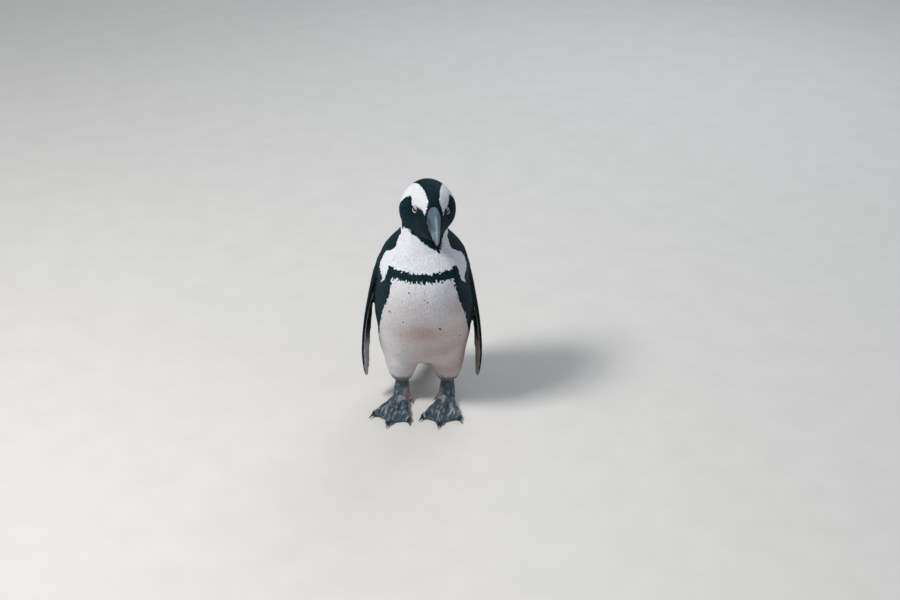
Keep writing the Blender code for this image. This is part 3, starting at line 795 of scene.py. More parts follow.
# %% Grow feathers on roots
SHARP_TURN = 0.6  # a feather runs straight on where the skin turns away by more than this cosine
FLIPPER_TURN = -0.2  # a flipper's feathers wrap round its thin edges
SHOWS = 10  # the point on the shaft where a blade shows from under its neighbours
SHORTEST = {"tail": 1.2, "flipper": 0.9, "legs": 2.6}  # mm
FLOOR_GAP = 0.0006  # nothing hangs lower than this


def grown(name, roots, uv, length, width, rise, drawn, jitter, rough):
    """A mesh of feathers, one at each root."""
    count, kind = len(roots), name.split("_")[1]
    length = length * drawn.uniform(0.85, 1.12, count)
    if kind in SHORTEST:  # at the lower end they don't hang past it
        room = roots[:, 2] - roots[:, 2].min()
        length = np.minimum(length, np.maximum(room, SHORTEST[kind] * MM))
    width = width * drawn.uniform(0.9, 1.1, count)
    rise = rise * drawn.uniform(0.93, 1.03, count)
    turn = np.radians(drawn.normal(0, jitter, count))[:, None]
    places, normals = on_skin(roots)
    on_flipper = kind == "flipper"
    backwards = along_flipper(places) if on_flipper else BACKWARDS.get(kind, BODY_BACKWARDS)
    way = lie_of(places, normals, backwards)
    way = way * np.cos(turn) + np.cross(normals, way) * np.sin(turn)
    middles, ways, facings = [], [], []
    for step, here in enumerate(STEPS):
        if step:
            ahead = places + way * (length * (here - STEPS[step - 1]))[:, None]
            found, faced = on_skin(ahead)
            sharp = FLIPPER_TURN if on_flipper else SHARP_TURN
            past_edge = ((faced * normals).sum(axis=1) < sharp)[:, None]
            places, normals = np.where(past_edge, ahead, found), np.where(past_edge, normals, faced)
            way = unit(way - normals * (way * normals).sum(axis=1)[:, None])
        middle = places + normals * (rise * RISES[step])[:, None]
        middle[:, 2] = np.maximum(middle[:, 2], FLOOR_GAP)
        middles.append(middle)
        ways.append(way)
        facings.append(normals)
    middles, ways, facings = (np.stack(rows, axis=1) for rows in (middles, ways, facings))
    made, verts = blades(name, middles, ways, facings, width, WIDTHS, STEPS)
    seen = verts[:, SHOWS]
    stray, shade = drawn.normal(0, rough, count), drawn.random(count)
    if on_flipper:
        # A flipper's black is raised paler, a painted sheen.
        white, shade = flipper_white(seen, facings[:, 2], stray), 0.35 + 0.65 * shade
    else:
        white = np.where(is_black(seen, stray), 0.0, 1.0 - hem_grey(seen))
    mark_blades(made, verts, STEPS, uv, length, white, shade, dirt_and_shade_of(seen))
    return made


# %% [markdown]
# ## The coat, region by region
# The feathers are smallest round the bill and the eyes, short and stiff like scales on the
# flippers, and longest on the trunk and the tail.

# %% Sizes of the feathers
BARE_EYE = 6.9  # no feather is rooted this near to an eyeball's middle, mm
EYEBALL = (19.5, 20.0, 7.2)  # the left one's middle in the head's frame, mm
IN_HORN = 0.0004  # nor this deep inside the bill
BILL_SPOT, BILL_NEAR = (0, 50, 8), 12  # the face's feathers are small round this spot, mm
EYE_SPOT, EYE_NEAR = (26, 20, 7), 5  # and round this one beside each eye
FACE_FADE = (1, 20)  # over this distance they grow to full size, mm
halves = [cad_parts[half].data for half in ("bill_upper", "bill_lower")]
horn_trees = [
    BVHTree.FromPolygons([v.co for v in half.vertices], [p.vertices for p in half.polygons])
    for half in halves
]


def face_nearness(points):
    """1 at the bill and the eyes, 0 from two centimetres away."""
    local = in_head(points)
    to_bill = np.linalg.norm(local - BILL_SPOT, axis=1) - BILL_NEAR
    eye = np.abs(local) - EYE_SPOT
    eye[:, 2] = local[:, 2] - EYE_SPOT[2]
    to_eye = np.linalg.norm(eye, axis=1) - EYE_NEAR
    return 1 - smooth_step(*FACE_FADE, np.minimum(to_bill, to_eye))


def bare_of_feathers(points):
    """True on the eyes, the bill, the pink skin over the eye and the soles."""
    local = in_head(points)
    hidden = bare_share(points) > 0.4
    for side in SIDES.values():
        off = local - np.array(EYEBALL) * (side, 1, 1)
        hidden |= np.linalg.norm(off, axis=1) < BARE_EYE
    for index in np.flatnonzero((local[:, 1] > 34) & (np.abs(local[:, 0]) < 14)):
        place = Vector(points[index])
        for horn in horn_trees:
            spot, facing, *_ = horn.find_nearest(place)
            if (place - spot).dot(facing) < -IN_HORN:
                hidden[index] = True
    return hidden


# Spacing, length and width in mm, how far they turn in degrees, and how far the edges of the
# markings stray in mm.
TRUNK_COAT = (1.5, 7.4, 2.8, 5.0, 0.8)
COATS = {
    "head": (1.15, 4.4, 1.6, 5.0, 0.35),
    "neck": (1.4, 6.4, 2.5, 5.0, 0.5),
    "legs": (1.5, 7.0, 2.7, 7.0, 0.8),
    "tail": (2.0, 8.5, 3.2, 5.0, 0.8),
    "flipper": (1.25, 2.3, 1.6, 2.0, 0.3),
}
FACE_SPACING, FACE_LENGTH, FACE_WIDTH = 0.95, 2.6, 1.2

coat = {}
for seed, (name, chosen) in enumerate(regions.items()):
    drawn = np.random.default_rng(seed + 11)
    kind = name.split("_")[1]
    spacing, long, wide, jitter, rough = COATS.get(kind, TRUNK_COAT)
    roots, uv = scattered(chosen, kind == "head", spacing * MM, drawn)
    keep = ~bare_of_feathers(roots)
    roots, uv = roots[keep], uv[keep]
    length, width = np.full(len(roots), long), np.full(len(roots), wide)
    if kind == "head":
        nearness = face_nearness(roots)
        length += (FACE_LENGTH - length) * nearness
        width += (FACE_WIDTH - width) * nearness
    rise = COAT_DEPTH.get(kind.replace("legs", "leg"), COAT_DEPTH["trunk"])
    sizes = (length * MM, width * MM, rise * MM)
    coat[name] = grown(name, roots, uv, *sizes, drawn, jitter, rough)
    print(name, len(roots), "feathers,", 22 * len(roots), "triangles")

# %% [markdown]
# ## The tail
# The tail is a wedge of stiff narrow feathers that props the bird up. They are far too long to
# be left to the coat, so each is a blade of its own: it starts under the rump's feathers
# and runs straight down the wedge, the middle ones longest, spread like a hand of cards.

# %% Tail feathers
TAIL_FEATHERS = 18
TAIL_ROOT, TAIL_TIP = Vector((BODY_X, 0.0720, 0.0860)), Vector((BODY_X, 0.1232, 0.0030))
tail_way = (TAIL_TIP - TAIL_ROOT).normalized()
tail_up = Vector((1, 0, 0)).cross(tail_way)
TAIL_STEPS = (0.0, 0.12, 0.3, 0.5, 0.7, 0.86, 0.95, 1.0)
TAIL_WIDTHS = (0.5, 0.8, 1.0, 1.0, 0.9, 0.66, 0.36, 0.0)
TAIL_WIDTH = 0.0074
ROOT_SPREAD, TIP_SPREAD = 0.019, 0.0235  # from the middle feather to the outermost
OUTER_SHORTER, LAYER_SHORTER = 0.30, 0.13  # by these shares of the length
ROOT_LIFT, TAIL_BOW, TIP_LIFT = 0.0092, 0.0030, 0.0018  # how far they stand off the straight line
drawn = np.random.default_rng(41)
middles, lengths = [], []
for layer, count, lift in ((0, TAIL_FEATHERS, 0.0), (1, TAIL_FEATHERS - 5, 0.0014)):
    for i in range(count):
        side = 2 * (i + 0.5) / count - 1
        root = TAIL_ROOT + Vector((side * ROOT_SPREAD, 0, 0)) - tail_up * (0.004 * side**2)
        reach = 1 - OUTER_SHORTER * side**2 - LAYER_SHORTER * layer + drawn.uniform(-0.02, 0.02)
        end = TAIL_ROOT + (TAIL_TIP - TAIL_ROOT) * reach
        end += Vector((side * TIP_SPREAD * (1 - 0.25 * layer), 0, 0)) - tail_up * (0.0035 * side**2)
        rows = []
        for step in TAIL_STEPS:
            bow = 4 * step * (1 - step) * TAIL_BOW + ROOT_LIFT * (1 - step) + TIP_LIFT + lift
            rows.append(root.lerp(end, step) + tail_up * bow)
        middles.append(rows)
        lengths.append((end - root).length)
middles = np.array(middles)
ways = unit(np.gradient(middles, axis=1))
facings = np.broadcast_to(np.array(tail_up), middles.shape)
width = np.full(len(middles), TAIL_WIDTH)
tail_feathers, verts = blades(
    "tail_feathers", middles, ways, facings, width, TAIL_WIDTHS, TAIL_STEPS
)
spread = np.linspace(0.05, 0.95, len(middles))
uv = np.stack((spread, 0.1 + 0.8 * drawn.random(len(middles))), axis=1)
none = np.zeros(len(middles))
mark_blades(
    tail_feathers, verts, TAIL_STEPS, uv, np.array(lengths), none, drawn.random(len(middles)), none
)
print("tail_feathers", len(middles), "of up to", round(max(lengths) / MM), "mm")

# %% [markdown]
# ## The bill
# The bill is horn over bone: a top plate and two side plates with a groove between them, a
# slit of a nostril in the groove, a hooked tip, and cutting edges that meet in a fine line.
# The two solids have the outline; they are remeshed fine enough to hold the grooves, which are
# then pressed in as a depth that depends on the place along and across the bill.

# %% Press the grooves into the bill
BILL_VOXEL = 0.0005
RIDGE = ((38, 25.8), (50, 24.7), (61, 22.7), (73.5, 20.4), (84, 18.2), (91.5, 15), (98, 7))
MOUTH = ((38, 4.0), (50, 4.2), (61, 5.2), (73.5, 6.2), (84, 6.3), (91.5, 5.3), (98, 2))
PLATE_SEAM = ((48, 0.50), (60, 0.58), (75, 0.66), (88, 0.78))  # share of the bill's height
NOSTRIL_AHEAD, NOSTRIL_SHARE = 54.5, 0.46
PALE_BAR = 84.0  # forward of the skull's middle, mm
BAR_LEAN = 0.25  # the bar leans forward by this much of its height
FLANK_TOP = (0.64, 0.84)  # shares of the bill's height between which the dark flank fades out
# Stretches over which colours and grooves fade in or out, forward of the skull's middle, mm.
HORN_START, SEAM_START, RIDGE_START = (46, 58), (46, 54), (52, 66)
WRINKLE_END, FLANK_END, SEAM_END = (50, 72), (67, 80), (86, 93)


def hump(distance, half_width):
    """1 on a line, falling to nothing at about twice its half width."""
    return np.exp(-((distance / half_width) ** 2))


def made_square(points, local, upper):
    """Widens the half's flat side, where the two halves meet, so that they shut in a line."""
    slices = np.round(local[:, 1] / 1.5).astype(int)
    for index in np.unique(slices):
        mine = np.flatnonzero(slices == index)
        low, high = local[mine, 2].min(), local[mine, 2].max()
        at = (local[mine, 2] - low) / max(high - low, 0.1)
        at = 1 - at if upper else at
        wide = 1 / (2 * np.sqrt(np.clip(at * (1 - at), 0.03, 0.25)))
        wide = np.where(at > 0.5, np.minimum(wide, 1.9), 1.0)
        points[mine] += np.outer(local[mine, 0] * (wide - 1), HEAD_AXES[:, 0]) * MM
        if not upper:
            points[mine] += np.outer(0.45 * smooth_step(0.5, 0.9, at), HEAD_AXES[:, 2]) * MM


def horn_copy(node_name, name, upper):
    """One half of the bill with its grooves, plates and colour marks."""
    made = copy_of(node_name, name)
    remeshed(made, BILL_VOXEL, 4)
    points = points_of(made.data)
    local = in_head(points)
    side, ahead, up = np.abs(local[:, 0]), local[:, 1], local[:, 2]
    top, mouth = read_off(RIDGE, ahead), read_off(MOUTH, ahead)
    share = (up - mouth) / np.maximum(top - mouth, 1)
    made_square(points, local, upper)
    press = hump(up - mouth - (1.4 if upper else -1.2), 0.45) * 0.12
    lean = BAR_LEAN * (up - mouth)
    if upper:
        plates = read_off(PLATE_SEAM, ahead)
        seam = hump((share - plates) * (top - mouth), 0.5) * smooth_step(*SEAM_START, ahead)
        press += 0.30 * seam * (1 - smooth_step(*SEAM_END, ahead))
        slit = hump((share - NOSTRIL_SHARE) * (top - mouth), 0.75)
        press += 0.85 * hump(ahead - NOSTRIL_AHEAD, 2.8) * slit
    for groove in (PALE_BAR - 2.6, PALE_BAR + 2.4):
        press += 0.13 * hump(ahead - groove - lean, 0.6)
    wrinkles = grain(local * (0.35, 1.0, 1.6), 1.6, 3) * (1 - smooth_step(*WRINKLE_END, ahead))
    press += 0.07 * wrinkles + 0.03 * grain(local, 1.1, 4)
    set_points(made.data, points - normals_of(made.data) * (press * MM)[:, None])
    made.data.shade_smooth()
    pale_bar_and_highlight = 0.5 * hump(ahead - PALE_BAR - lean, 2.0)
    # A painted highlight along the top ridge, and another along the cutting edges.
    ridge_highlight = 0.55 * hump(side, 1.5) * (share > 0.6)
    pale_bar_and_highlight = np.maximum(pale_bar_and_highlight, ridge_highlight * smooth_step(*RIDGE_START, ahead))
    pale_bar_and_highlight = np.maximum(pale_bar_and_highlight, 0.35 * hump(up - mouth - (0.7 if upper else -0.7), 0.6))
    started = smooth_step(*HORN_START, ahead)
    # Painted shade on the lower flank, towards the base.
    flank = (1 - smooth_step(*FLANK_TOP, share)) * (1 - smooth_step(*FLANK_END, ahead))
    flank_shade = np.maximum(0.92 * flank * started, 0.2)
    # The third share paints the pressed grooves, nostril and wrinkles darker by their depth, as
    # shade.
    tints = np.stack((pale_bar_and_highlight * started, flank_shade, press * 2, np.ones(len(pale_bar_and_highlight))), axis=1)
    store(made.data, "horn", np.clip(tints, 0, 1))
    unwrapped(made)
    return made


upper_bill = horn_copy("bill_upper", "upper_mandible", True)
lower_bill = horn_copy("bill_lower", "lower_mandible", False)
print("bill:", len(upper_bill.data.polygons), "and", len(lower_bill.data.polygons), "faces")

# %% [markdown]
# ## The eyes
# The ball itself is dark brown with a black pupil under a clear, wet cornea. Two lids close over
# it and leave a narrow almond; the lower one has a pale rim. Their ring of skin starts tucked in
# under the rim, rolls over it, and runs out under the feathers.

# %% Eyeballs
EYE_RADIUS = 0.0068
eye_way = {
    name: (HEAD_TURN @ Vector((0.84 * side, -0.49, 0.23))).normalized()
    for name, side in SIDES.items()
}


def eyeball(side_name):
    """A fine sphere, its pole turned outwards, with a cornea that bulges a little."""
    bpy.ops.mesh.primitive_uv_sphere_add(segments=48, ring_count=32, radius=EYE_RADIUS - 0.0001)
    made = bpy.context.object
    made.name = made.data.name = "eyeball_" + side_name
    turn = Vector((0, 0, 1)).rotation_difference(eye_way[side_name]).to_matrix().to_4x4()
    points = points_of(made.data)
    out = unit(points)[:, 2]
    points *= (1 + 0.035 * smooth_step(0.86, 1.0, out))[:, None]
    set_points(made.data, points)
    store(made.data, "off_axis", np.degrees(np.arccos(np.clip(out, -1, 1))) / 90)
    made.data.transform(Matrix.Translation(eye_middle(side_name)) @ turn)
    made.data.shade_smooth()
    unwrapped(made)
    return made


eyeballs = {side_name: eyeball(side_name) for side_name in SIDES}
print("an eyeball has", len(eyeballs["left"].data.polygons), "faces")

# %% Lids
LID_LONG, LID_HIGH = 4.4, 1.65  # half axes of the opening, mm
LID_OUTER = 8.4  # mm
LID_POINTS = 64  # round each ring
LID_PINCH = 0.42  # how far the opening narrows towards its corners
# Share of the way from the opening out, and height over the eyeball in mm.
LID_SECTION = (
    (0.00, -0.30), (-0.02, 0.08), (0.02, 0.36), (0.08, 0.42), (0.14, 0.30), (0.26, 0.26),
    (0.40, 0.30), (0.58, 0.20), (0.78, -0.20), (1.00, -1.10),
)


def eyelids(side_name):
    """Both lids of an eye as one ring of skin."""
    middle, out = eye_middle(side_name), eye_way[side_name]
    ahead = forward.normalized()
    ahead = (ahead - out * ahead.dot(out)).normalized()
    up = out.cross(ahead)
    up = -up if up.z < 0 else up
    verts, tints = [], []
    for share, height in LID_SECTION:
        for i in range(LID_POINTS):
            angle = 2 * math.pi * i / LID_POINTS
            pinch = 1 - LID_PINCH * abs(math.cos(angle)) ** 3
            p, q = LID_LONG * math.cos(angle), LID_HIGH * math.sin(angle) * pinch
            p += (LID_OUTER * math.cos(angle) - p) * share
            q += (LID_OUTER * math.sin(angle) - q) * share
            fold = 0.10 * math.sin(share * 38 + 0.6 * math.sin(3 * angle)) * (share > 0.15)
            reach = EYE_RADIUS + (height + fold * (1 - share)) * MM
            tilt = math.hypot(p, q) * MM / EYE_RADIUS
            flat = (ahead * p + up * q) / max(math.hypot(p, q), 1e-9)
            verts.append(middle + (out * math.cos(tilt) + flat * math.sin(tilt)) * reach)
            lower = min(1.0, max(0.0, 0.42 - 1.6 * math.sin(angle)))  # only the lower lid is pale
            rim = max(0.0, 1 - abs(share - 0.05) / 0.15) * lower
            pink = 0.85 * max(0.0, math.sin(angle - 0.35)) ** 1.5 * (share > 0.2)
            tints.append((rim, pink, 0, 1))
    count, last = len(verts), len(verts) - LID_POINTS
    ring = [(i, (i + 1) % LID_POINTS) for i in range(LID_POINTS)]
    faces = [
        (row + i, row + j, row + j + LID_POINTS, row + i + LID_POINTS)
        for row in range(0, last, LID_POINTS)
        for i, j in ring
    ]
    faces += [tuple(i + count for i in reversed(face)) for face in faces]
    for i, j in ring:
        faces.append((i, i + count, j + count, j))
        faces.append((last + j, last + j + count, last + i + count, last + i))
    inner = [middle + (vert - middle) * 0.93 for vert in verts]
    made = mesh_object("eyelids_" + side_name, [tuple(v) for v in verts + inner], faces)
    edit(made, bpy.ops.mesh.normals_make_consistent, inside=False)
    made.data.shade_smooth()
    store(made.data, "lid", tints + tints)
    unwrapped(made)
    return made


lids = {side_name: eyelids(side_name) for side_name in SIDES}
print("eyes are", round((eye_middle("left") - eye_middle("right")).length / MM, 1), "mm apart")

# %% [markdown]
# ## Feet and claws
# The feet are bare: a ribbed shank, three toes under rows of small plates, thin wrinkled webs
# and a tiny hind toe. They are remeshed finely, and the plates are pressed in between grooves
# whose places come from the distance along each toe. Claws are horn and stay pieces of
# their own.

# %% Feet
FOOT_VOXEL = 0.0008
ANKLES = {"left": Vector((0.0380, 0.0029, 0)), "right": Vector((-0.0310, 0.0029, 0))}
FOOT_TURNS = {"left": math.radians(-9), "right": math.radians(-14)}
TOE_ANGLES = (-23, 0, 25)  # degrees outwards from straight ahead
PLATE = 2.7  # length of a toe's plate, mm
RIB = 2.1  # spacing of the shank's ribs, mm
TOE_EDGE, TOE_START = (4.5, 6.5), (12, 20)  # from the toe's middle line, and from the ankle, mm
SHANK_START, WEB_START = (13, 18), (20, 30)  # height, and distance from the ankle, mm
PINK_SIDE, PINK_TOP, PINK_REACH = (2, 8), 34, 24  # the pink patch inside the ankle, mm
MOTTLE_END = (16, 30)  # heights over which the pale mottling, partly a painted highlight, fades, mm


def bare_foot(side_name):
    """A foot with plates, ribs and wrinkles."""
    made = copy_of("foot_" + side_name, "bare_foot_" + side_name)
    remeshed(made, FOOT_VOXEL, 3)
    points, normals = points_of(made.data), normals_of(made.data)
    turn = np.array(Matrix.Rotation(FOOT_TURNS[side_name], 3, "Z"))
    local = (points - np.array(ANKLES[side_name])) @ turn * 1000
    local[:, 0] *= SIDES[side_name]
    reach = np.hypot(local[:, 0], local[:, 1])
    angle = np.degrees(np.arctan2(local[:, 0], -local[:, 1]))
    off = np.min([np.abs(reach * np.sin(np.radians(angle - toe))) for toe in TOE_ANGLES], axis=0)
    height = points[:, 2] * 1000
    on_toe = (1 - smooth_step(*TOE_EDGE, off)) * smooth_step(*TOE_START, reach)
    wobble = 0.7 * grain(local, 9, 7)
    plates = hump(np.mod(reach + wobble, PLATE) - PLATE / 2, 0.42)
    ribs = hump(np.mod(height + wobble, RIB) - RIB / 2, 0.40)
    on_shank = smooth_step(*SHANK_START, height)
    on_web = (1 - on_toe) * (1 - on_shank) * smooth_step(*WEB_START, reach)
    top = smooth_step(0.1, 0.6, normals[:, 2])
    press = 0.26 * plates * on_toe * top + 0.24 * ribs * on_shank
    press += 0.16 * (grain(local * (1, 0.45, 1), 1.9, 8) ** 2 - 0.6) * on_web
    press += 0.10 * grain(local, 1.5, 9)
    press *= smooth_step(0.3, 1.6, height)
    moved = points - normals * (press * MM)[:, None]
    moved[:, 2] = np.maximum(moved[:, 2], 0.0)
    set_points(made.data, moved)
    made.data.shade_smooth()
    inner = smooth_step(*PINK_SIDE, -local[:, 0]) * smooth_step(2, 12, PINK_TOP - height)
    inner *= reach < PINK_REACH
    along = np.stack((angle * reach / RADIAN, 0.30 * reach, local[:, 2] * 0.6), axis=1)
    # Pale mottling along the toes, partly real and partly a painted highlight.
    mottle_and_highlight = smooth_step(0.0, 1.7, grain(along, 3.4, 12) + 0.6 * grain(along, 1.3, 13))
    mottle_and_highlight *= 0.85 * (1 - 0.75 * smooth_step(*MOTTLE_END, height))
    # Painted shade in the grooves between the plates and the ribs.
    shaded_grooves = np.clip(plates * on_toe + ribs * on_shank, 0, 1)
    tints = (np.clip(inner, 0, 1), mottle_and_highlight, shaded_grooves, np.ones(len(points)))
    store(made.data, "scales", np.stack(tints, axis=1))
    unwrapped(made)
    return made


feet = {side_name: bare_foot(side_name) for side_name in SIDES}
print("a foot has", len(feet["left"].data.polygons), "faces")

# %% Claws
claws = {}
for side_name in SIDES:
    for toe in ("inner", "middle", "outer", "hind"):
        claw = f"claw_{side_name}_{toe}"
        made = copy_of(claw, "horn_" + claw)
        apply(made, "SUBSURF", levels=2, render_levels=2)
        made.data.shade_smooth()
        unwrapped(made)
        claws[claw] = made
print(len(claws), "claws")

# %% [markdown]
# ## Plumage as a material
# Penguin feathers are short, dense keratin vanes with a dull face. Keratin has an IOR near 1.55,
# but the loose barbs scatter light and trap it, so the surface is rough, with far less gloss than
# smooth horn and a faint sheen. The black is never quite black: it reads as a cold dark teal,
# duller where it is worn and paler at the tips. Low on the belly and on the bird's left the white
# takes dirt, painted shade and a painted warm reflection from the ground. One recipe makes both
# colours and mixes them by the white share of each feather.

# %% Feathers
KERATIN_IOR = 1.55
BARB_SLANT, BARB_WAVES = -2.4, 25.0


def plumage(name, on_feathers):
    """Black and white plumage; on the bare skin under it the fine barbs are left out."""
    made, tree, shader = new_material(
        name,
        Roughness=0.6,
        IOR=KERATIN_IOR,
        Specular_IOR_Level=0.06,
        Sheen_Weight=0.02,
        Sheen_Roughness=0.5,
    )
    marks = node(tree, "Attribute", attribute_name="feather").outputs["Color"]
    white_share, shade, along = node(tree, "SeparateColor", {"Color": marks}).outputs
    soil = node(tree, "Attribute", attribute_name="soil").outputs["Fac"]
    patch = object_noise(tree, 14, 4)
    fine = object_noise(tree, 2.0, 3)
    stops = (0.0, "#03141b"), (0.45, "#061d27"), (0.8, "#0a2833"), (1.0, "#123642")
    black = node(tree, "ValToRGB", {"Fac": shade}, stops).outputs["Color"]
    stops = (0.42, "#0a191e"), (0.62, "#15282c"), (0.75, "#232c2b")
    worn = node(tree, "ValToRGB", {"Fac": patch}, stops).outputs["Color"]
    black = node(tree, "Mix", {0: 0.35, 6: black, 7: worn}, data_type="RGBA").outputs[2]
    tip = node(tree, "ValToRGB", {"Fac": along}, ((0.55, 0.0), (1.0, 0.35))).outputs["Color"]
    sockets = {0: tip, 6: black, 7: colour("#1f3a42")}
    black = node(tree, "Mix", sockets, data_type="RGBA").outputs[2]
    stops = (0.0, "#dbe1ea"), (0.5, "#e3e9f1"), (1.0, "#ecf1f7")
    white = node(tree, "ValToRGB", {"Fac": shade}, stops).outputs["Color"]
    root = node(tree, "ValToRGB", {"Fac": along}, ((0.2, 0.20), (0.8, 0.0))).outputs["Color"]
    sockets = {0: root, 6: white, 7: colour("#d3d6db")}
    white = node(tree, "Mix", sockets, data_type="RGBA").outputs[2]
    # Dirt with painted shade and a painted warm reflection from the ground, multiplied into the
    # white.
    stops = (0.3, "#bf9c8f"), (0.55, "#caaa9e"), (0.75, "#d4b8ac")
    dirt_and_reflection = node(tree, "ValToRGB", {"Fac": fine}, stops).outputs["Color"]
    sockets = {0: soil, 6: white, 7: dirt_and_reflection}
    white = node(tree, "Mix", sockets, data_type="RGBA", blend_type="MULTIPLY").outputs[2]
    sockets = {0: white_share, 6: black, 7: white}
    base = node(tree, "Mix", sockets, data_type="RGBA").outputs[2]
    height, depth_mm = fine, 0.15
    if on_feathers:
        # Barbs run off the shaft at a slant, 0.25 mm apart here so that they can be seen at all.
        place = node(tree, "UVMap", uv_map="Blade").outputs["UV"]
        across, down, _ = node(tree, "SeparateXYZ", {"Vector": place}).outputs
        off = node(tree, "Math", {0: across, 1: 0.5}, operation="SUBTRACT").outputs[0]
        off = node(tree, "Math", {0: off}, operation="ABSOLUTE").outputs[0]
        slant = node(tree, "Math", {0: off, 1: BARB_SLANT}, operation="MULTIPLY").outputs[0]
        row = node(tree, "Math", {0: slant, 1: down}, operation="ADD").outputs[0]
        wave = node(tree, "Math", {0: row, 1: BARB_WAVES}, operation="MULTIPLY").outputs[0]
        height, depth_mm = node(tree, "Math", {0: wave}, operation="SINE").outputs[0], 0.02
    raised = node(tree, "Bump", {"Height": height, "Distance": depth_mm * MM, "Strength": 1.0})
    plug(tree, shader, {"Base Color": base, "Normal": raised.outputs["Normal"]})
    return made


feather_material = plumage("keratin_plumage", True)
skin_material = plumage("plumage_ground", False)
print("feathers are", feather_material.name, "over", skin_material.name)

# %% Skin under the feathers, with the naked pink skin over the eyes
ground = np.ones((len(skin_points), 4))
ground[:, 0] = np.where(is_black(skin_points), 0.0, 1.0 - hem_grey(skin_points))
on_flipper = owner == "flipper"
ground[on_flipper, 0] = flipper_white(skin_points[on_flipper], skin_normals[on_flipper])
ground[:, 1:3] = 0.4, 0.3  # an even shade, and halfway between a feather's root and its tip
store(skin.data, "feather", ground)
# dirt with painted shade and a painted warm reflection from the ground, on the white
store(skin.data, "soil", dirt_and_shade_of(skin_points))
store(skin.data, "bare", bare_share(skin_points))
tree = skin_material.node_tree
shader = tree.nodes["Principled BSDF"]
plain = shader.inputs["Base Color"].links[0].from_socket
bare = node(tree, "Attribute", attribute_name="bare").outputs["Fac"]
stops = (0.3, "#bba9b2"), (0.55, "#cbbdc5"), (0.8, "#dbd2d8")
flush = node(tree, "ValToRGB", {"Fac": object_noise(tree, 1.5, 3)}, stops).outputs["Color"]
base = node(tree, "Mix", {0: bare, 6: plain, 7: flush}, data_type="RGBA").outputs[2]
plug(tree, shader, {"Base Color": base})
unwrapped(skin)
print("the skin is", round(100 * float(ground[:, 0].mean())), "percent white")

# %% [markdown]
# ## Horn, bare skin and eyes
# Bill and claws are keratin too, but solid: slate grey and satin, so the roughness drops to about
# 0.35. The bill has a pale bar near its tip, a painted highlight along its ridge and cutting
# edges, and painted shade on its lower flank and in its grooves. The feet are leathery scaled
# skin, slate with pale mottling that is partly a painted highlight, painted shade in the grooves
# between plates and ribs, and pinkish on the inner side of the ankle. The lids are thin dark skin,
# pink above the eye. Eyes are wet: a dark brown iris and a black pupil under a clear coat.

# %% Slate horn
slate, tree, shader = new_material("slate_keratin_horn", IOR=1.54, Roughness=0.36)
marks = node(tree, "Attribute", attribute_name="horn").outputs["Color"]
pale_bar_and_highlight, flank_shade, groove = node(tree, "SeparateColor", {"Color": marks}).outputs
streaks = object_noise(tree, 1.2, 5, stretch=(3.0, 0.5, 1.6))
stops = (0.30, "#40586a"), (0.50, "#526b7b"), (0.70, "#678191")
base = node(tree, "ValToRGB", {"Fac": streaks}, stops).outputs["Color"]
# Painted shade on the lower flank and in the grooves; the pale share is the pale bar with a painted
# highlight on the ridge and cutting edges.
for share, code in ((flank_shade, "#141f25"), (pale_bar_and_highlight, "#a3b6c4"), (groove, "#161d22")):
    base = node(tree, "Mix", {0: share, 6: base, 7: colour(code)}, data_type="RGBA").outputs[2]
raised = node(tree, "Bump", {"Height": streaks, "Distance": 0.12 * MM, "Strength": 1.0})
plug(tree, shader, {"Base Color": base, "Normal": raised.outputs["Normal"]})

claw_horn, tree, shader = new_material("black_claw_keratin", IOR=1.54, Roughness=0.32)
streaks = object_noise(tree, 1.4, 4, stretch=(1, 1, 2.5))
stops = (0.3, "#14181a"), (0.6, "#24292b"), (0.8, "#3a3d3d")
base = node(tree, "ValToRGB", {"Fac": streaks}, stops).outputs["Color"]
raised = node(tree, "Bump", {"Height": streaks, "Distance": 0.06 * MM, "Strength": 1.0})
plug(tree, shader, {"Base Color": base, "Normal": raised.outputs["Normal"]})
print("bill and claws are", slate.name, "and", claw_horn.name)

# %% Scaled foot skin
foot_skin, tree, shader = new_material("scaled_foot_skin", IOR=1.45, Roughness=0.52)
marks = node(tree, "Attribute", attribute_name="scales").outputs["Color"]
inner, mottle_and_highlight, groove = node(tree, "SeparateColor", {"Color": marks}).outputs
place = node(tree, "TexCoord").outputs["Object"]
cells = node(tree, "TexVoronoi", {"Vector": place, "Scale": 1 / (1.3 * MM)}).outputs["Distance"]
stops = (0.3, "#263b43"), (0.55, "#3b535b"), (0.8, "#5a737c")
base = node(tree, "ValToRGB", {"Fac": object_noise(tree, 3.0, 4)}, stops).outputs["Color"]
# Pale blotches: real mottling, partly standing in as a painted highlight.
stops = (0.3, "#8590a0"), (0.7, "#bcbbc9")
blotch_and_highlight_tint = node(tree, "ValToRGB", {"Fac": object_noise(tree, 2.0, 3)}, stops).outputs["Color"]
base = node(tree, "Mix", {0: mottle_and_highlight, 6: base, 7: blotch_and_highlight_tint}, data_type="RGBA").outputs[2]
stops = (0.0, "#a99aa2"), (0.8, "#7d747f")
flesh = node(tree, "ValToRGB", {"Fac": cells}, stops).outputs["Color"]
base = node(tree, "Mix", {0: inner, 6: base, 7: flesh}, data_type="RGBA").outputs[2]
# Painted shade darkens the grooves between plates and ribs.
groove_shade = node(tree, "ValToRGB", {"Fac": groove}, ((0.2, 0.0), (1.0, 0.6))).outputs["Color"]
base = node(tree, "Mix", {0: groove_shade, 6: base, 7: colour("#10181a")}, data_type="RGBA").outputs[2]
raised = node(tree, "Bump", {"Height": cells, "Distance": 0.18 * MM, "Strength": 1.0})
plug(tree, shader, {"Base Color": base, "Normal": raised.outputs["Normal"]})
print("feet are", foot_skin.name)

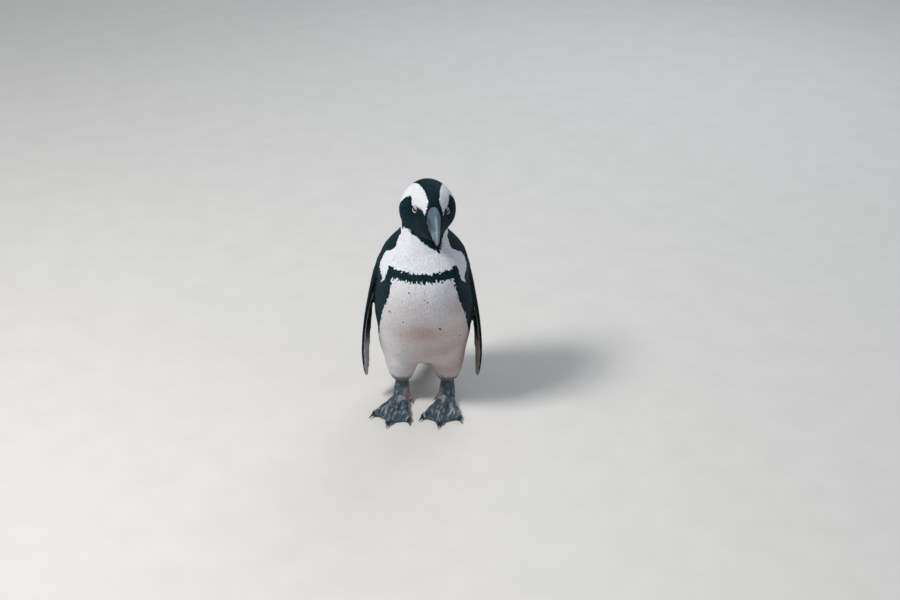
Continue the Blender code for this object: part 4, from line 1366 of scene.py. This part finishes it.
# %% Skin of the lids
lid_skin, tree, shader = new_material("bare_lid_skin", IOR=1.42, Roughness=0.48)
marks = node(tree, "Attribute", attribute_name="lid").outputs["Color"]
rim, pink, _ = node(tree, "SeparateColor", {"Color": marks}).outputs
pores = object_noise(tree, 0.7, 3)
stops = (0.3, "#182125"), (0.7, "#2a3438")
base = node(tree, "ValToRGB", {"Fac": pores}, stops).outputs["Color"]
base = node(tree, "Mix", {0: pink, 6: base, 7: colour("#c6b7c0")}, data_type="RGBA").outputs[2]
edge = node(tree, "ValToRGB", {"Fac": rim}, ((0.25, 0.0), (0.6, 1.0))).outputs["Color"]
base = node(tree, "Mix", {0: edge, 6: base, 7: colour("#dcd8dc")}, data_type="RGBA").outputs[2]
raised = node(tree, "Bump", {"Height": pores, "Distance": 0.08 * MM, "Strength": 1.0})
plug(tree, shader, {"Base Color": base, "Normal": raised.outputs["Normal"]})
print("lids are", lid_skin.name)

# %% Eye
PUPIL, IRIS = 0.16, 0.42  # their edges, as shares of a quarter turn from the eye's axis
wet_eye, tree, shader = new_material(
    "wet_cornea", IOR=1.376, Roughness=0.12, Coat_Weight=1.0, Coat_Roughness=0.03, Coat_IOR=1.376
)
off_axis = node(tree, "Attribute", attribute_name="off_axis").outputs["Fac"]
stops = (0.3, "#160c09"), (0.6, "#2b1811"), (0.85, "#432a1e")
iris = node(tree, "ValToRGB", {"Fac": object_noise(tree, 0.5, 4)}, stops).outputs["Color"]
stops = (PUPIL - 0.01, 0.0), (PUPIL + 0.02, 1.0)
rings = node(tree, "ValToRGB", {"Fac": off_axis}, stops).outputs["Color"]
base = node(tree, "Mix", {0: rings, 6: colour("#020202"), 7: iris}, data_type="RGBA").outputs[2]
stops = (IRIS - 0.03, 0.0), (IRIS + 0.03, 1.0)
edge = node(tree, "ValToRGB", {"Fac": off_axis}, stops).outputs["Color"]
base = node(tree, "Mix", {0: edge, 6: base, 7: colour("#0c0808")}, data_type="RGBA").outputs[2]
plug(tree, shader, {"Base Color": base})
print("eyeballs are", wet_eye.name)

# %% [markdown]
# ## Putting it together
# Each piece gets its material and rides on the one body; the solids that it stands for are hidden.

# %% Ride and replace
pieces = [(skin, skin_material, "black_plumage", flesh_nodes)]
WHITE_PIECES = ("coat_neck", "coat_breast", "coat_belly", "coat_legs")
for name, made in (*coat.items(), ("tail_feathers", tail_feathers)):
    slot = "white_plumage" if name in WHITE_PIECES else "black_plumage"
    pieces.append((made, feather_material, slot, ()))
pieces.append((upper_bill, slate, "slate_horn", ("bill_upper",)))
pieces.append((lower_bill, slate, "slate_horn", ("bill_lower",)))
for side_name in SIDES:
    pieces.append((eyeballs[side_name], wet_eye, "eye_brown", ("eye_" + side_name,)))
    pieces.append((lids[side_name], lid_skin, "foot_skin", ()))
    pieces.append((feet[side_name], foot_skin, "foot_skin", ("foot_" + side_name,)))
for claw, made in claws.items():
    pieces.append((made, claw_horn, "claw_horn", (claw,)))
for made, dress, slot, nodes in pieces:
    made.data.materials.clear()
    made.data.materials.append(dress)
    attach(made, "root")
    if nodes:
        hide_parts(*nodes)
total = sum(len(p.vertices) - 2 for made, *_ in pieces for p in made.data.polygons)
print(len(pieces), "pieces,", total, "triangles")

# %% [markdown]
# ## Floor, light and camera
# A plain pale floor and soft studio light: a large lamp high on the bird's right, a weaker one
# on its left, and one behind to lift the dark back from the floor.

# %% Stage
bpy.ops.mesh.primitive_plane_add(size=14)
floor = bpy.context.object
floor.name = "studio_floor"
paper, tree, shader = new_material("matt_backdrop_paper", Roughness=0.9)
stops = (0.3, "#dededc"), (0.7, "#e2e2e0")
fibres = node(tree, "ValToRGB", {"Fac": object_noise(tree, 60, 2)}, stops).outputs["Color"]
plug(tree, shader, {"Base Color": fibres})
floor.data.materials.append(paper)

BIRD_MIDDLE = Vector((BODY_X, 0, 0.18))


def softbox(name, place, size, power, tint):
    """A square lamp that faces the bird."""
    lamp = bpy.data.lights.new(name, "AREA")
    lamp.size, lamp.energy, lamp.color = size, power, colour(tint)[:3]
    made = linked(name, lamp)
    made.location = place
    made.rotation_euler = (BIRD_MIDDLE - Vector(place)).to_track_quat("-Z", "Y").to_euler()


softbox("key", (-1.25, -0.85, 2.1), 0.55, 46, "#fffaf4")
softbox("fill", (1.6, -1.6, 1.1), 1.6, 5, "#eef4ff")
softbox("rim", (0.7, 1.7, 1.6), 1.2, 12, "#f4f8ff")
world = bpy.data.worlds.new("studio")
bpy.context.scene.world = world
world.use_nodes = True
background = world.node_tree.nodes["Background"]
background.inputs["Color"].default_value = colour("#dfe5ea")
background.inputs["Strength"].default_value = 0.36
bpy.context.scene.view_settings.view_transform = "Standard"
print("the floor is", paper.name)

# %% Camera
CAMERA_AIM = Vector((0.0420, 0.0019, 0.1720))
CAMERA_FAR, CAMERA_HEIGHT_ANGLE = 2.45, math.radians(28)
lens = bpy.data.cameras.new("camera")
lens.lens, lens.sensor_width = 66.15, 36
camera = linked("camera", lens)
looking = Vector((0, math.cos(CAMERA_HEIGHT_ANGLE), -math.sin(CAMERA_HEIGHT_ANGLE)))
camera.location = CAMERA_AIM - looking * CAMERA_FAR
camera.rotation_euler = (math.radians(90) - CAMERA_HEIGHT_ANGLE, 0, 0)
bpy.context.scene.camera = camera
print("the camera is", round(CAMERA_FAR, 2), "m away")
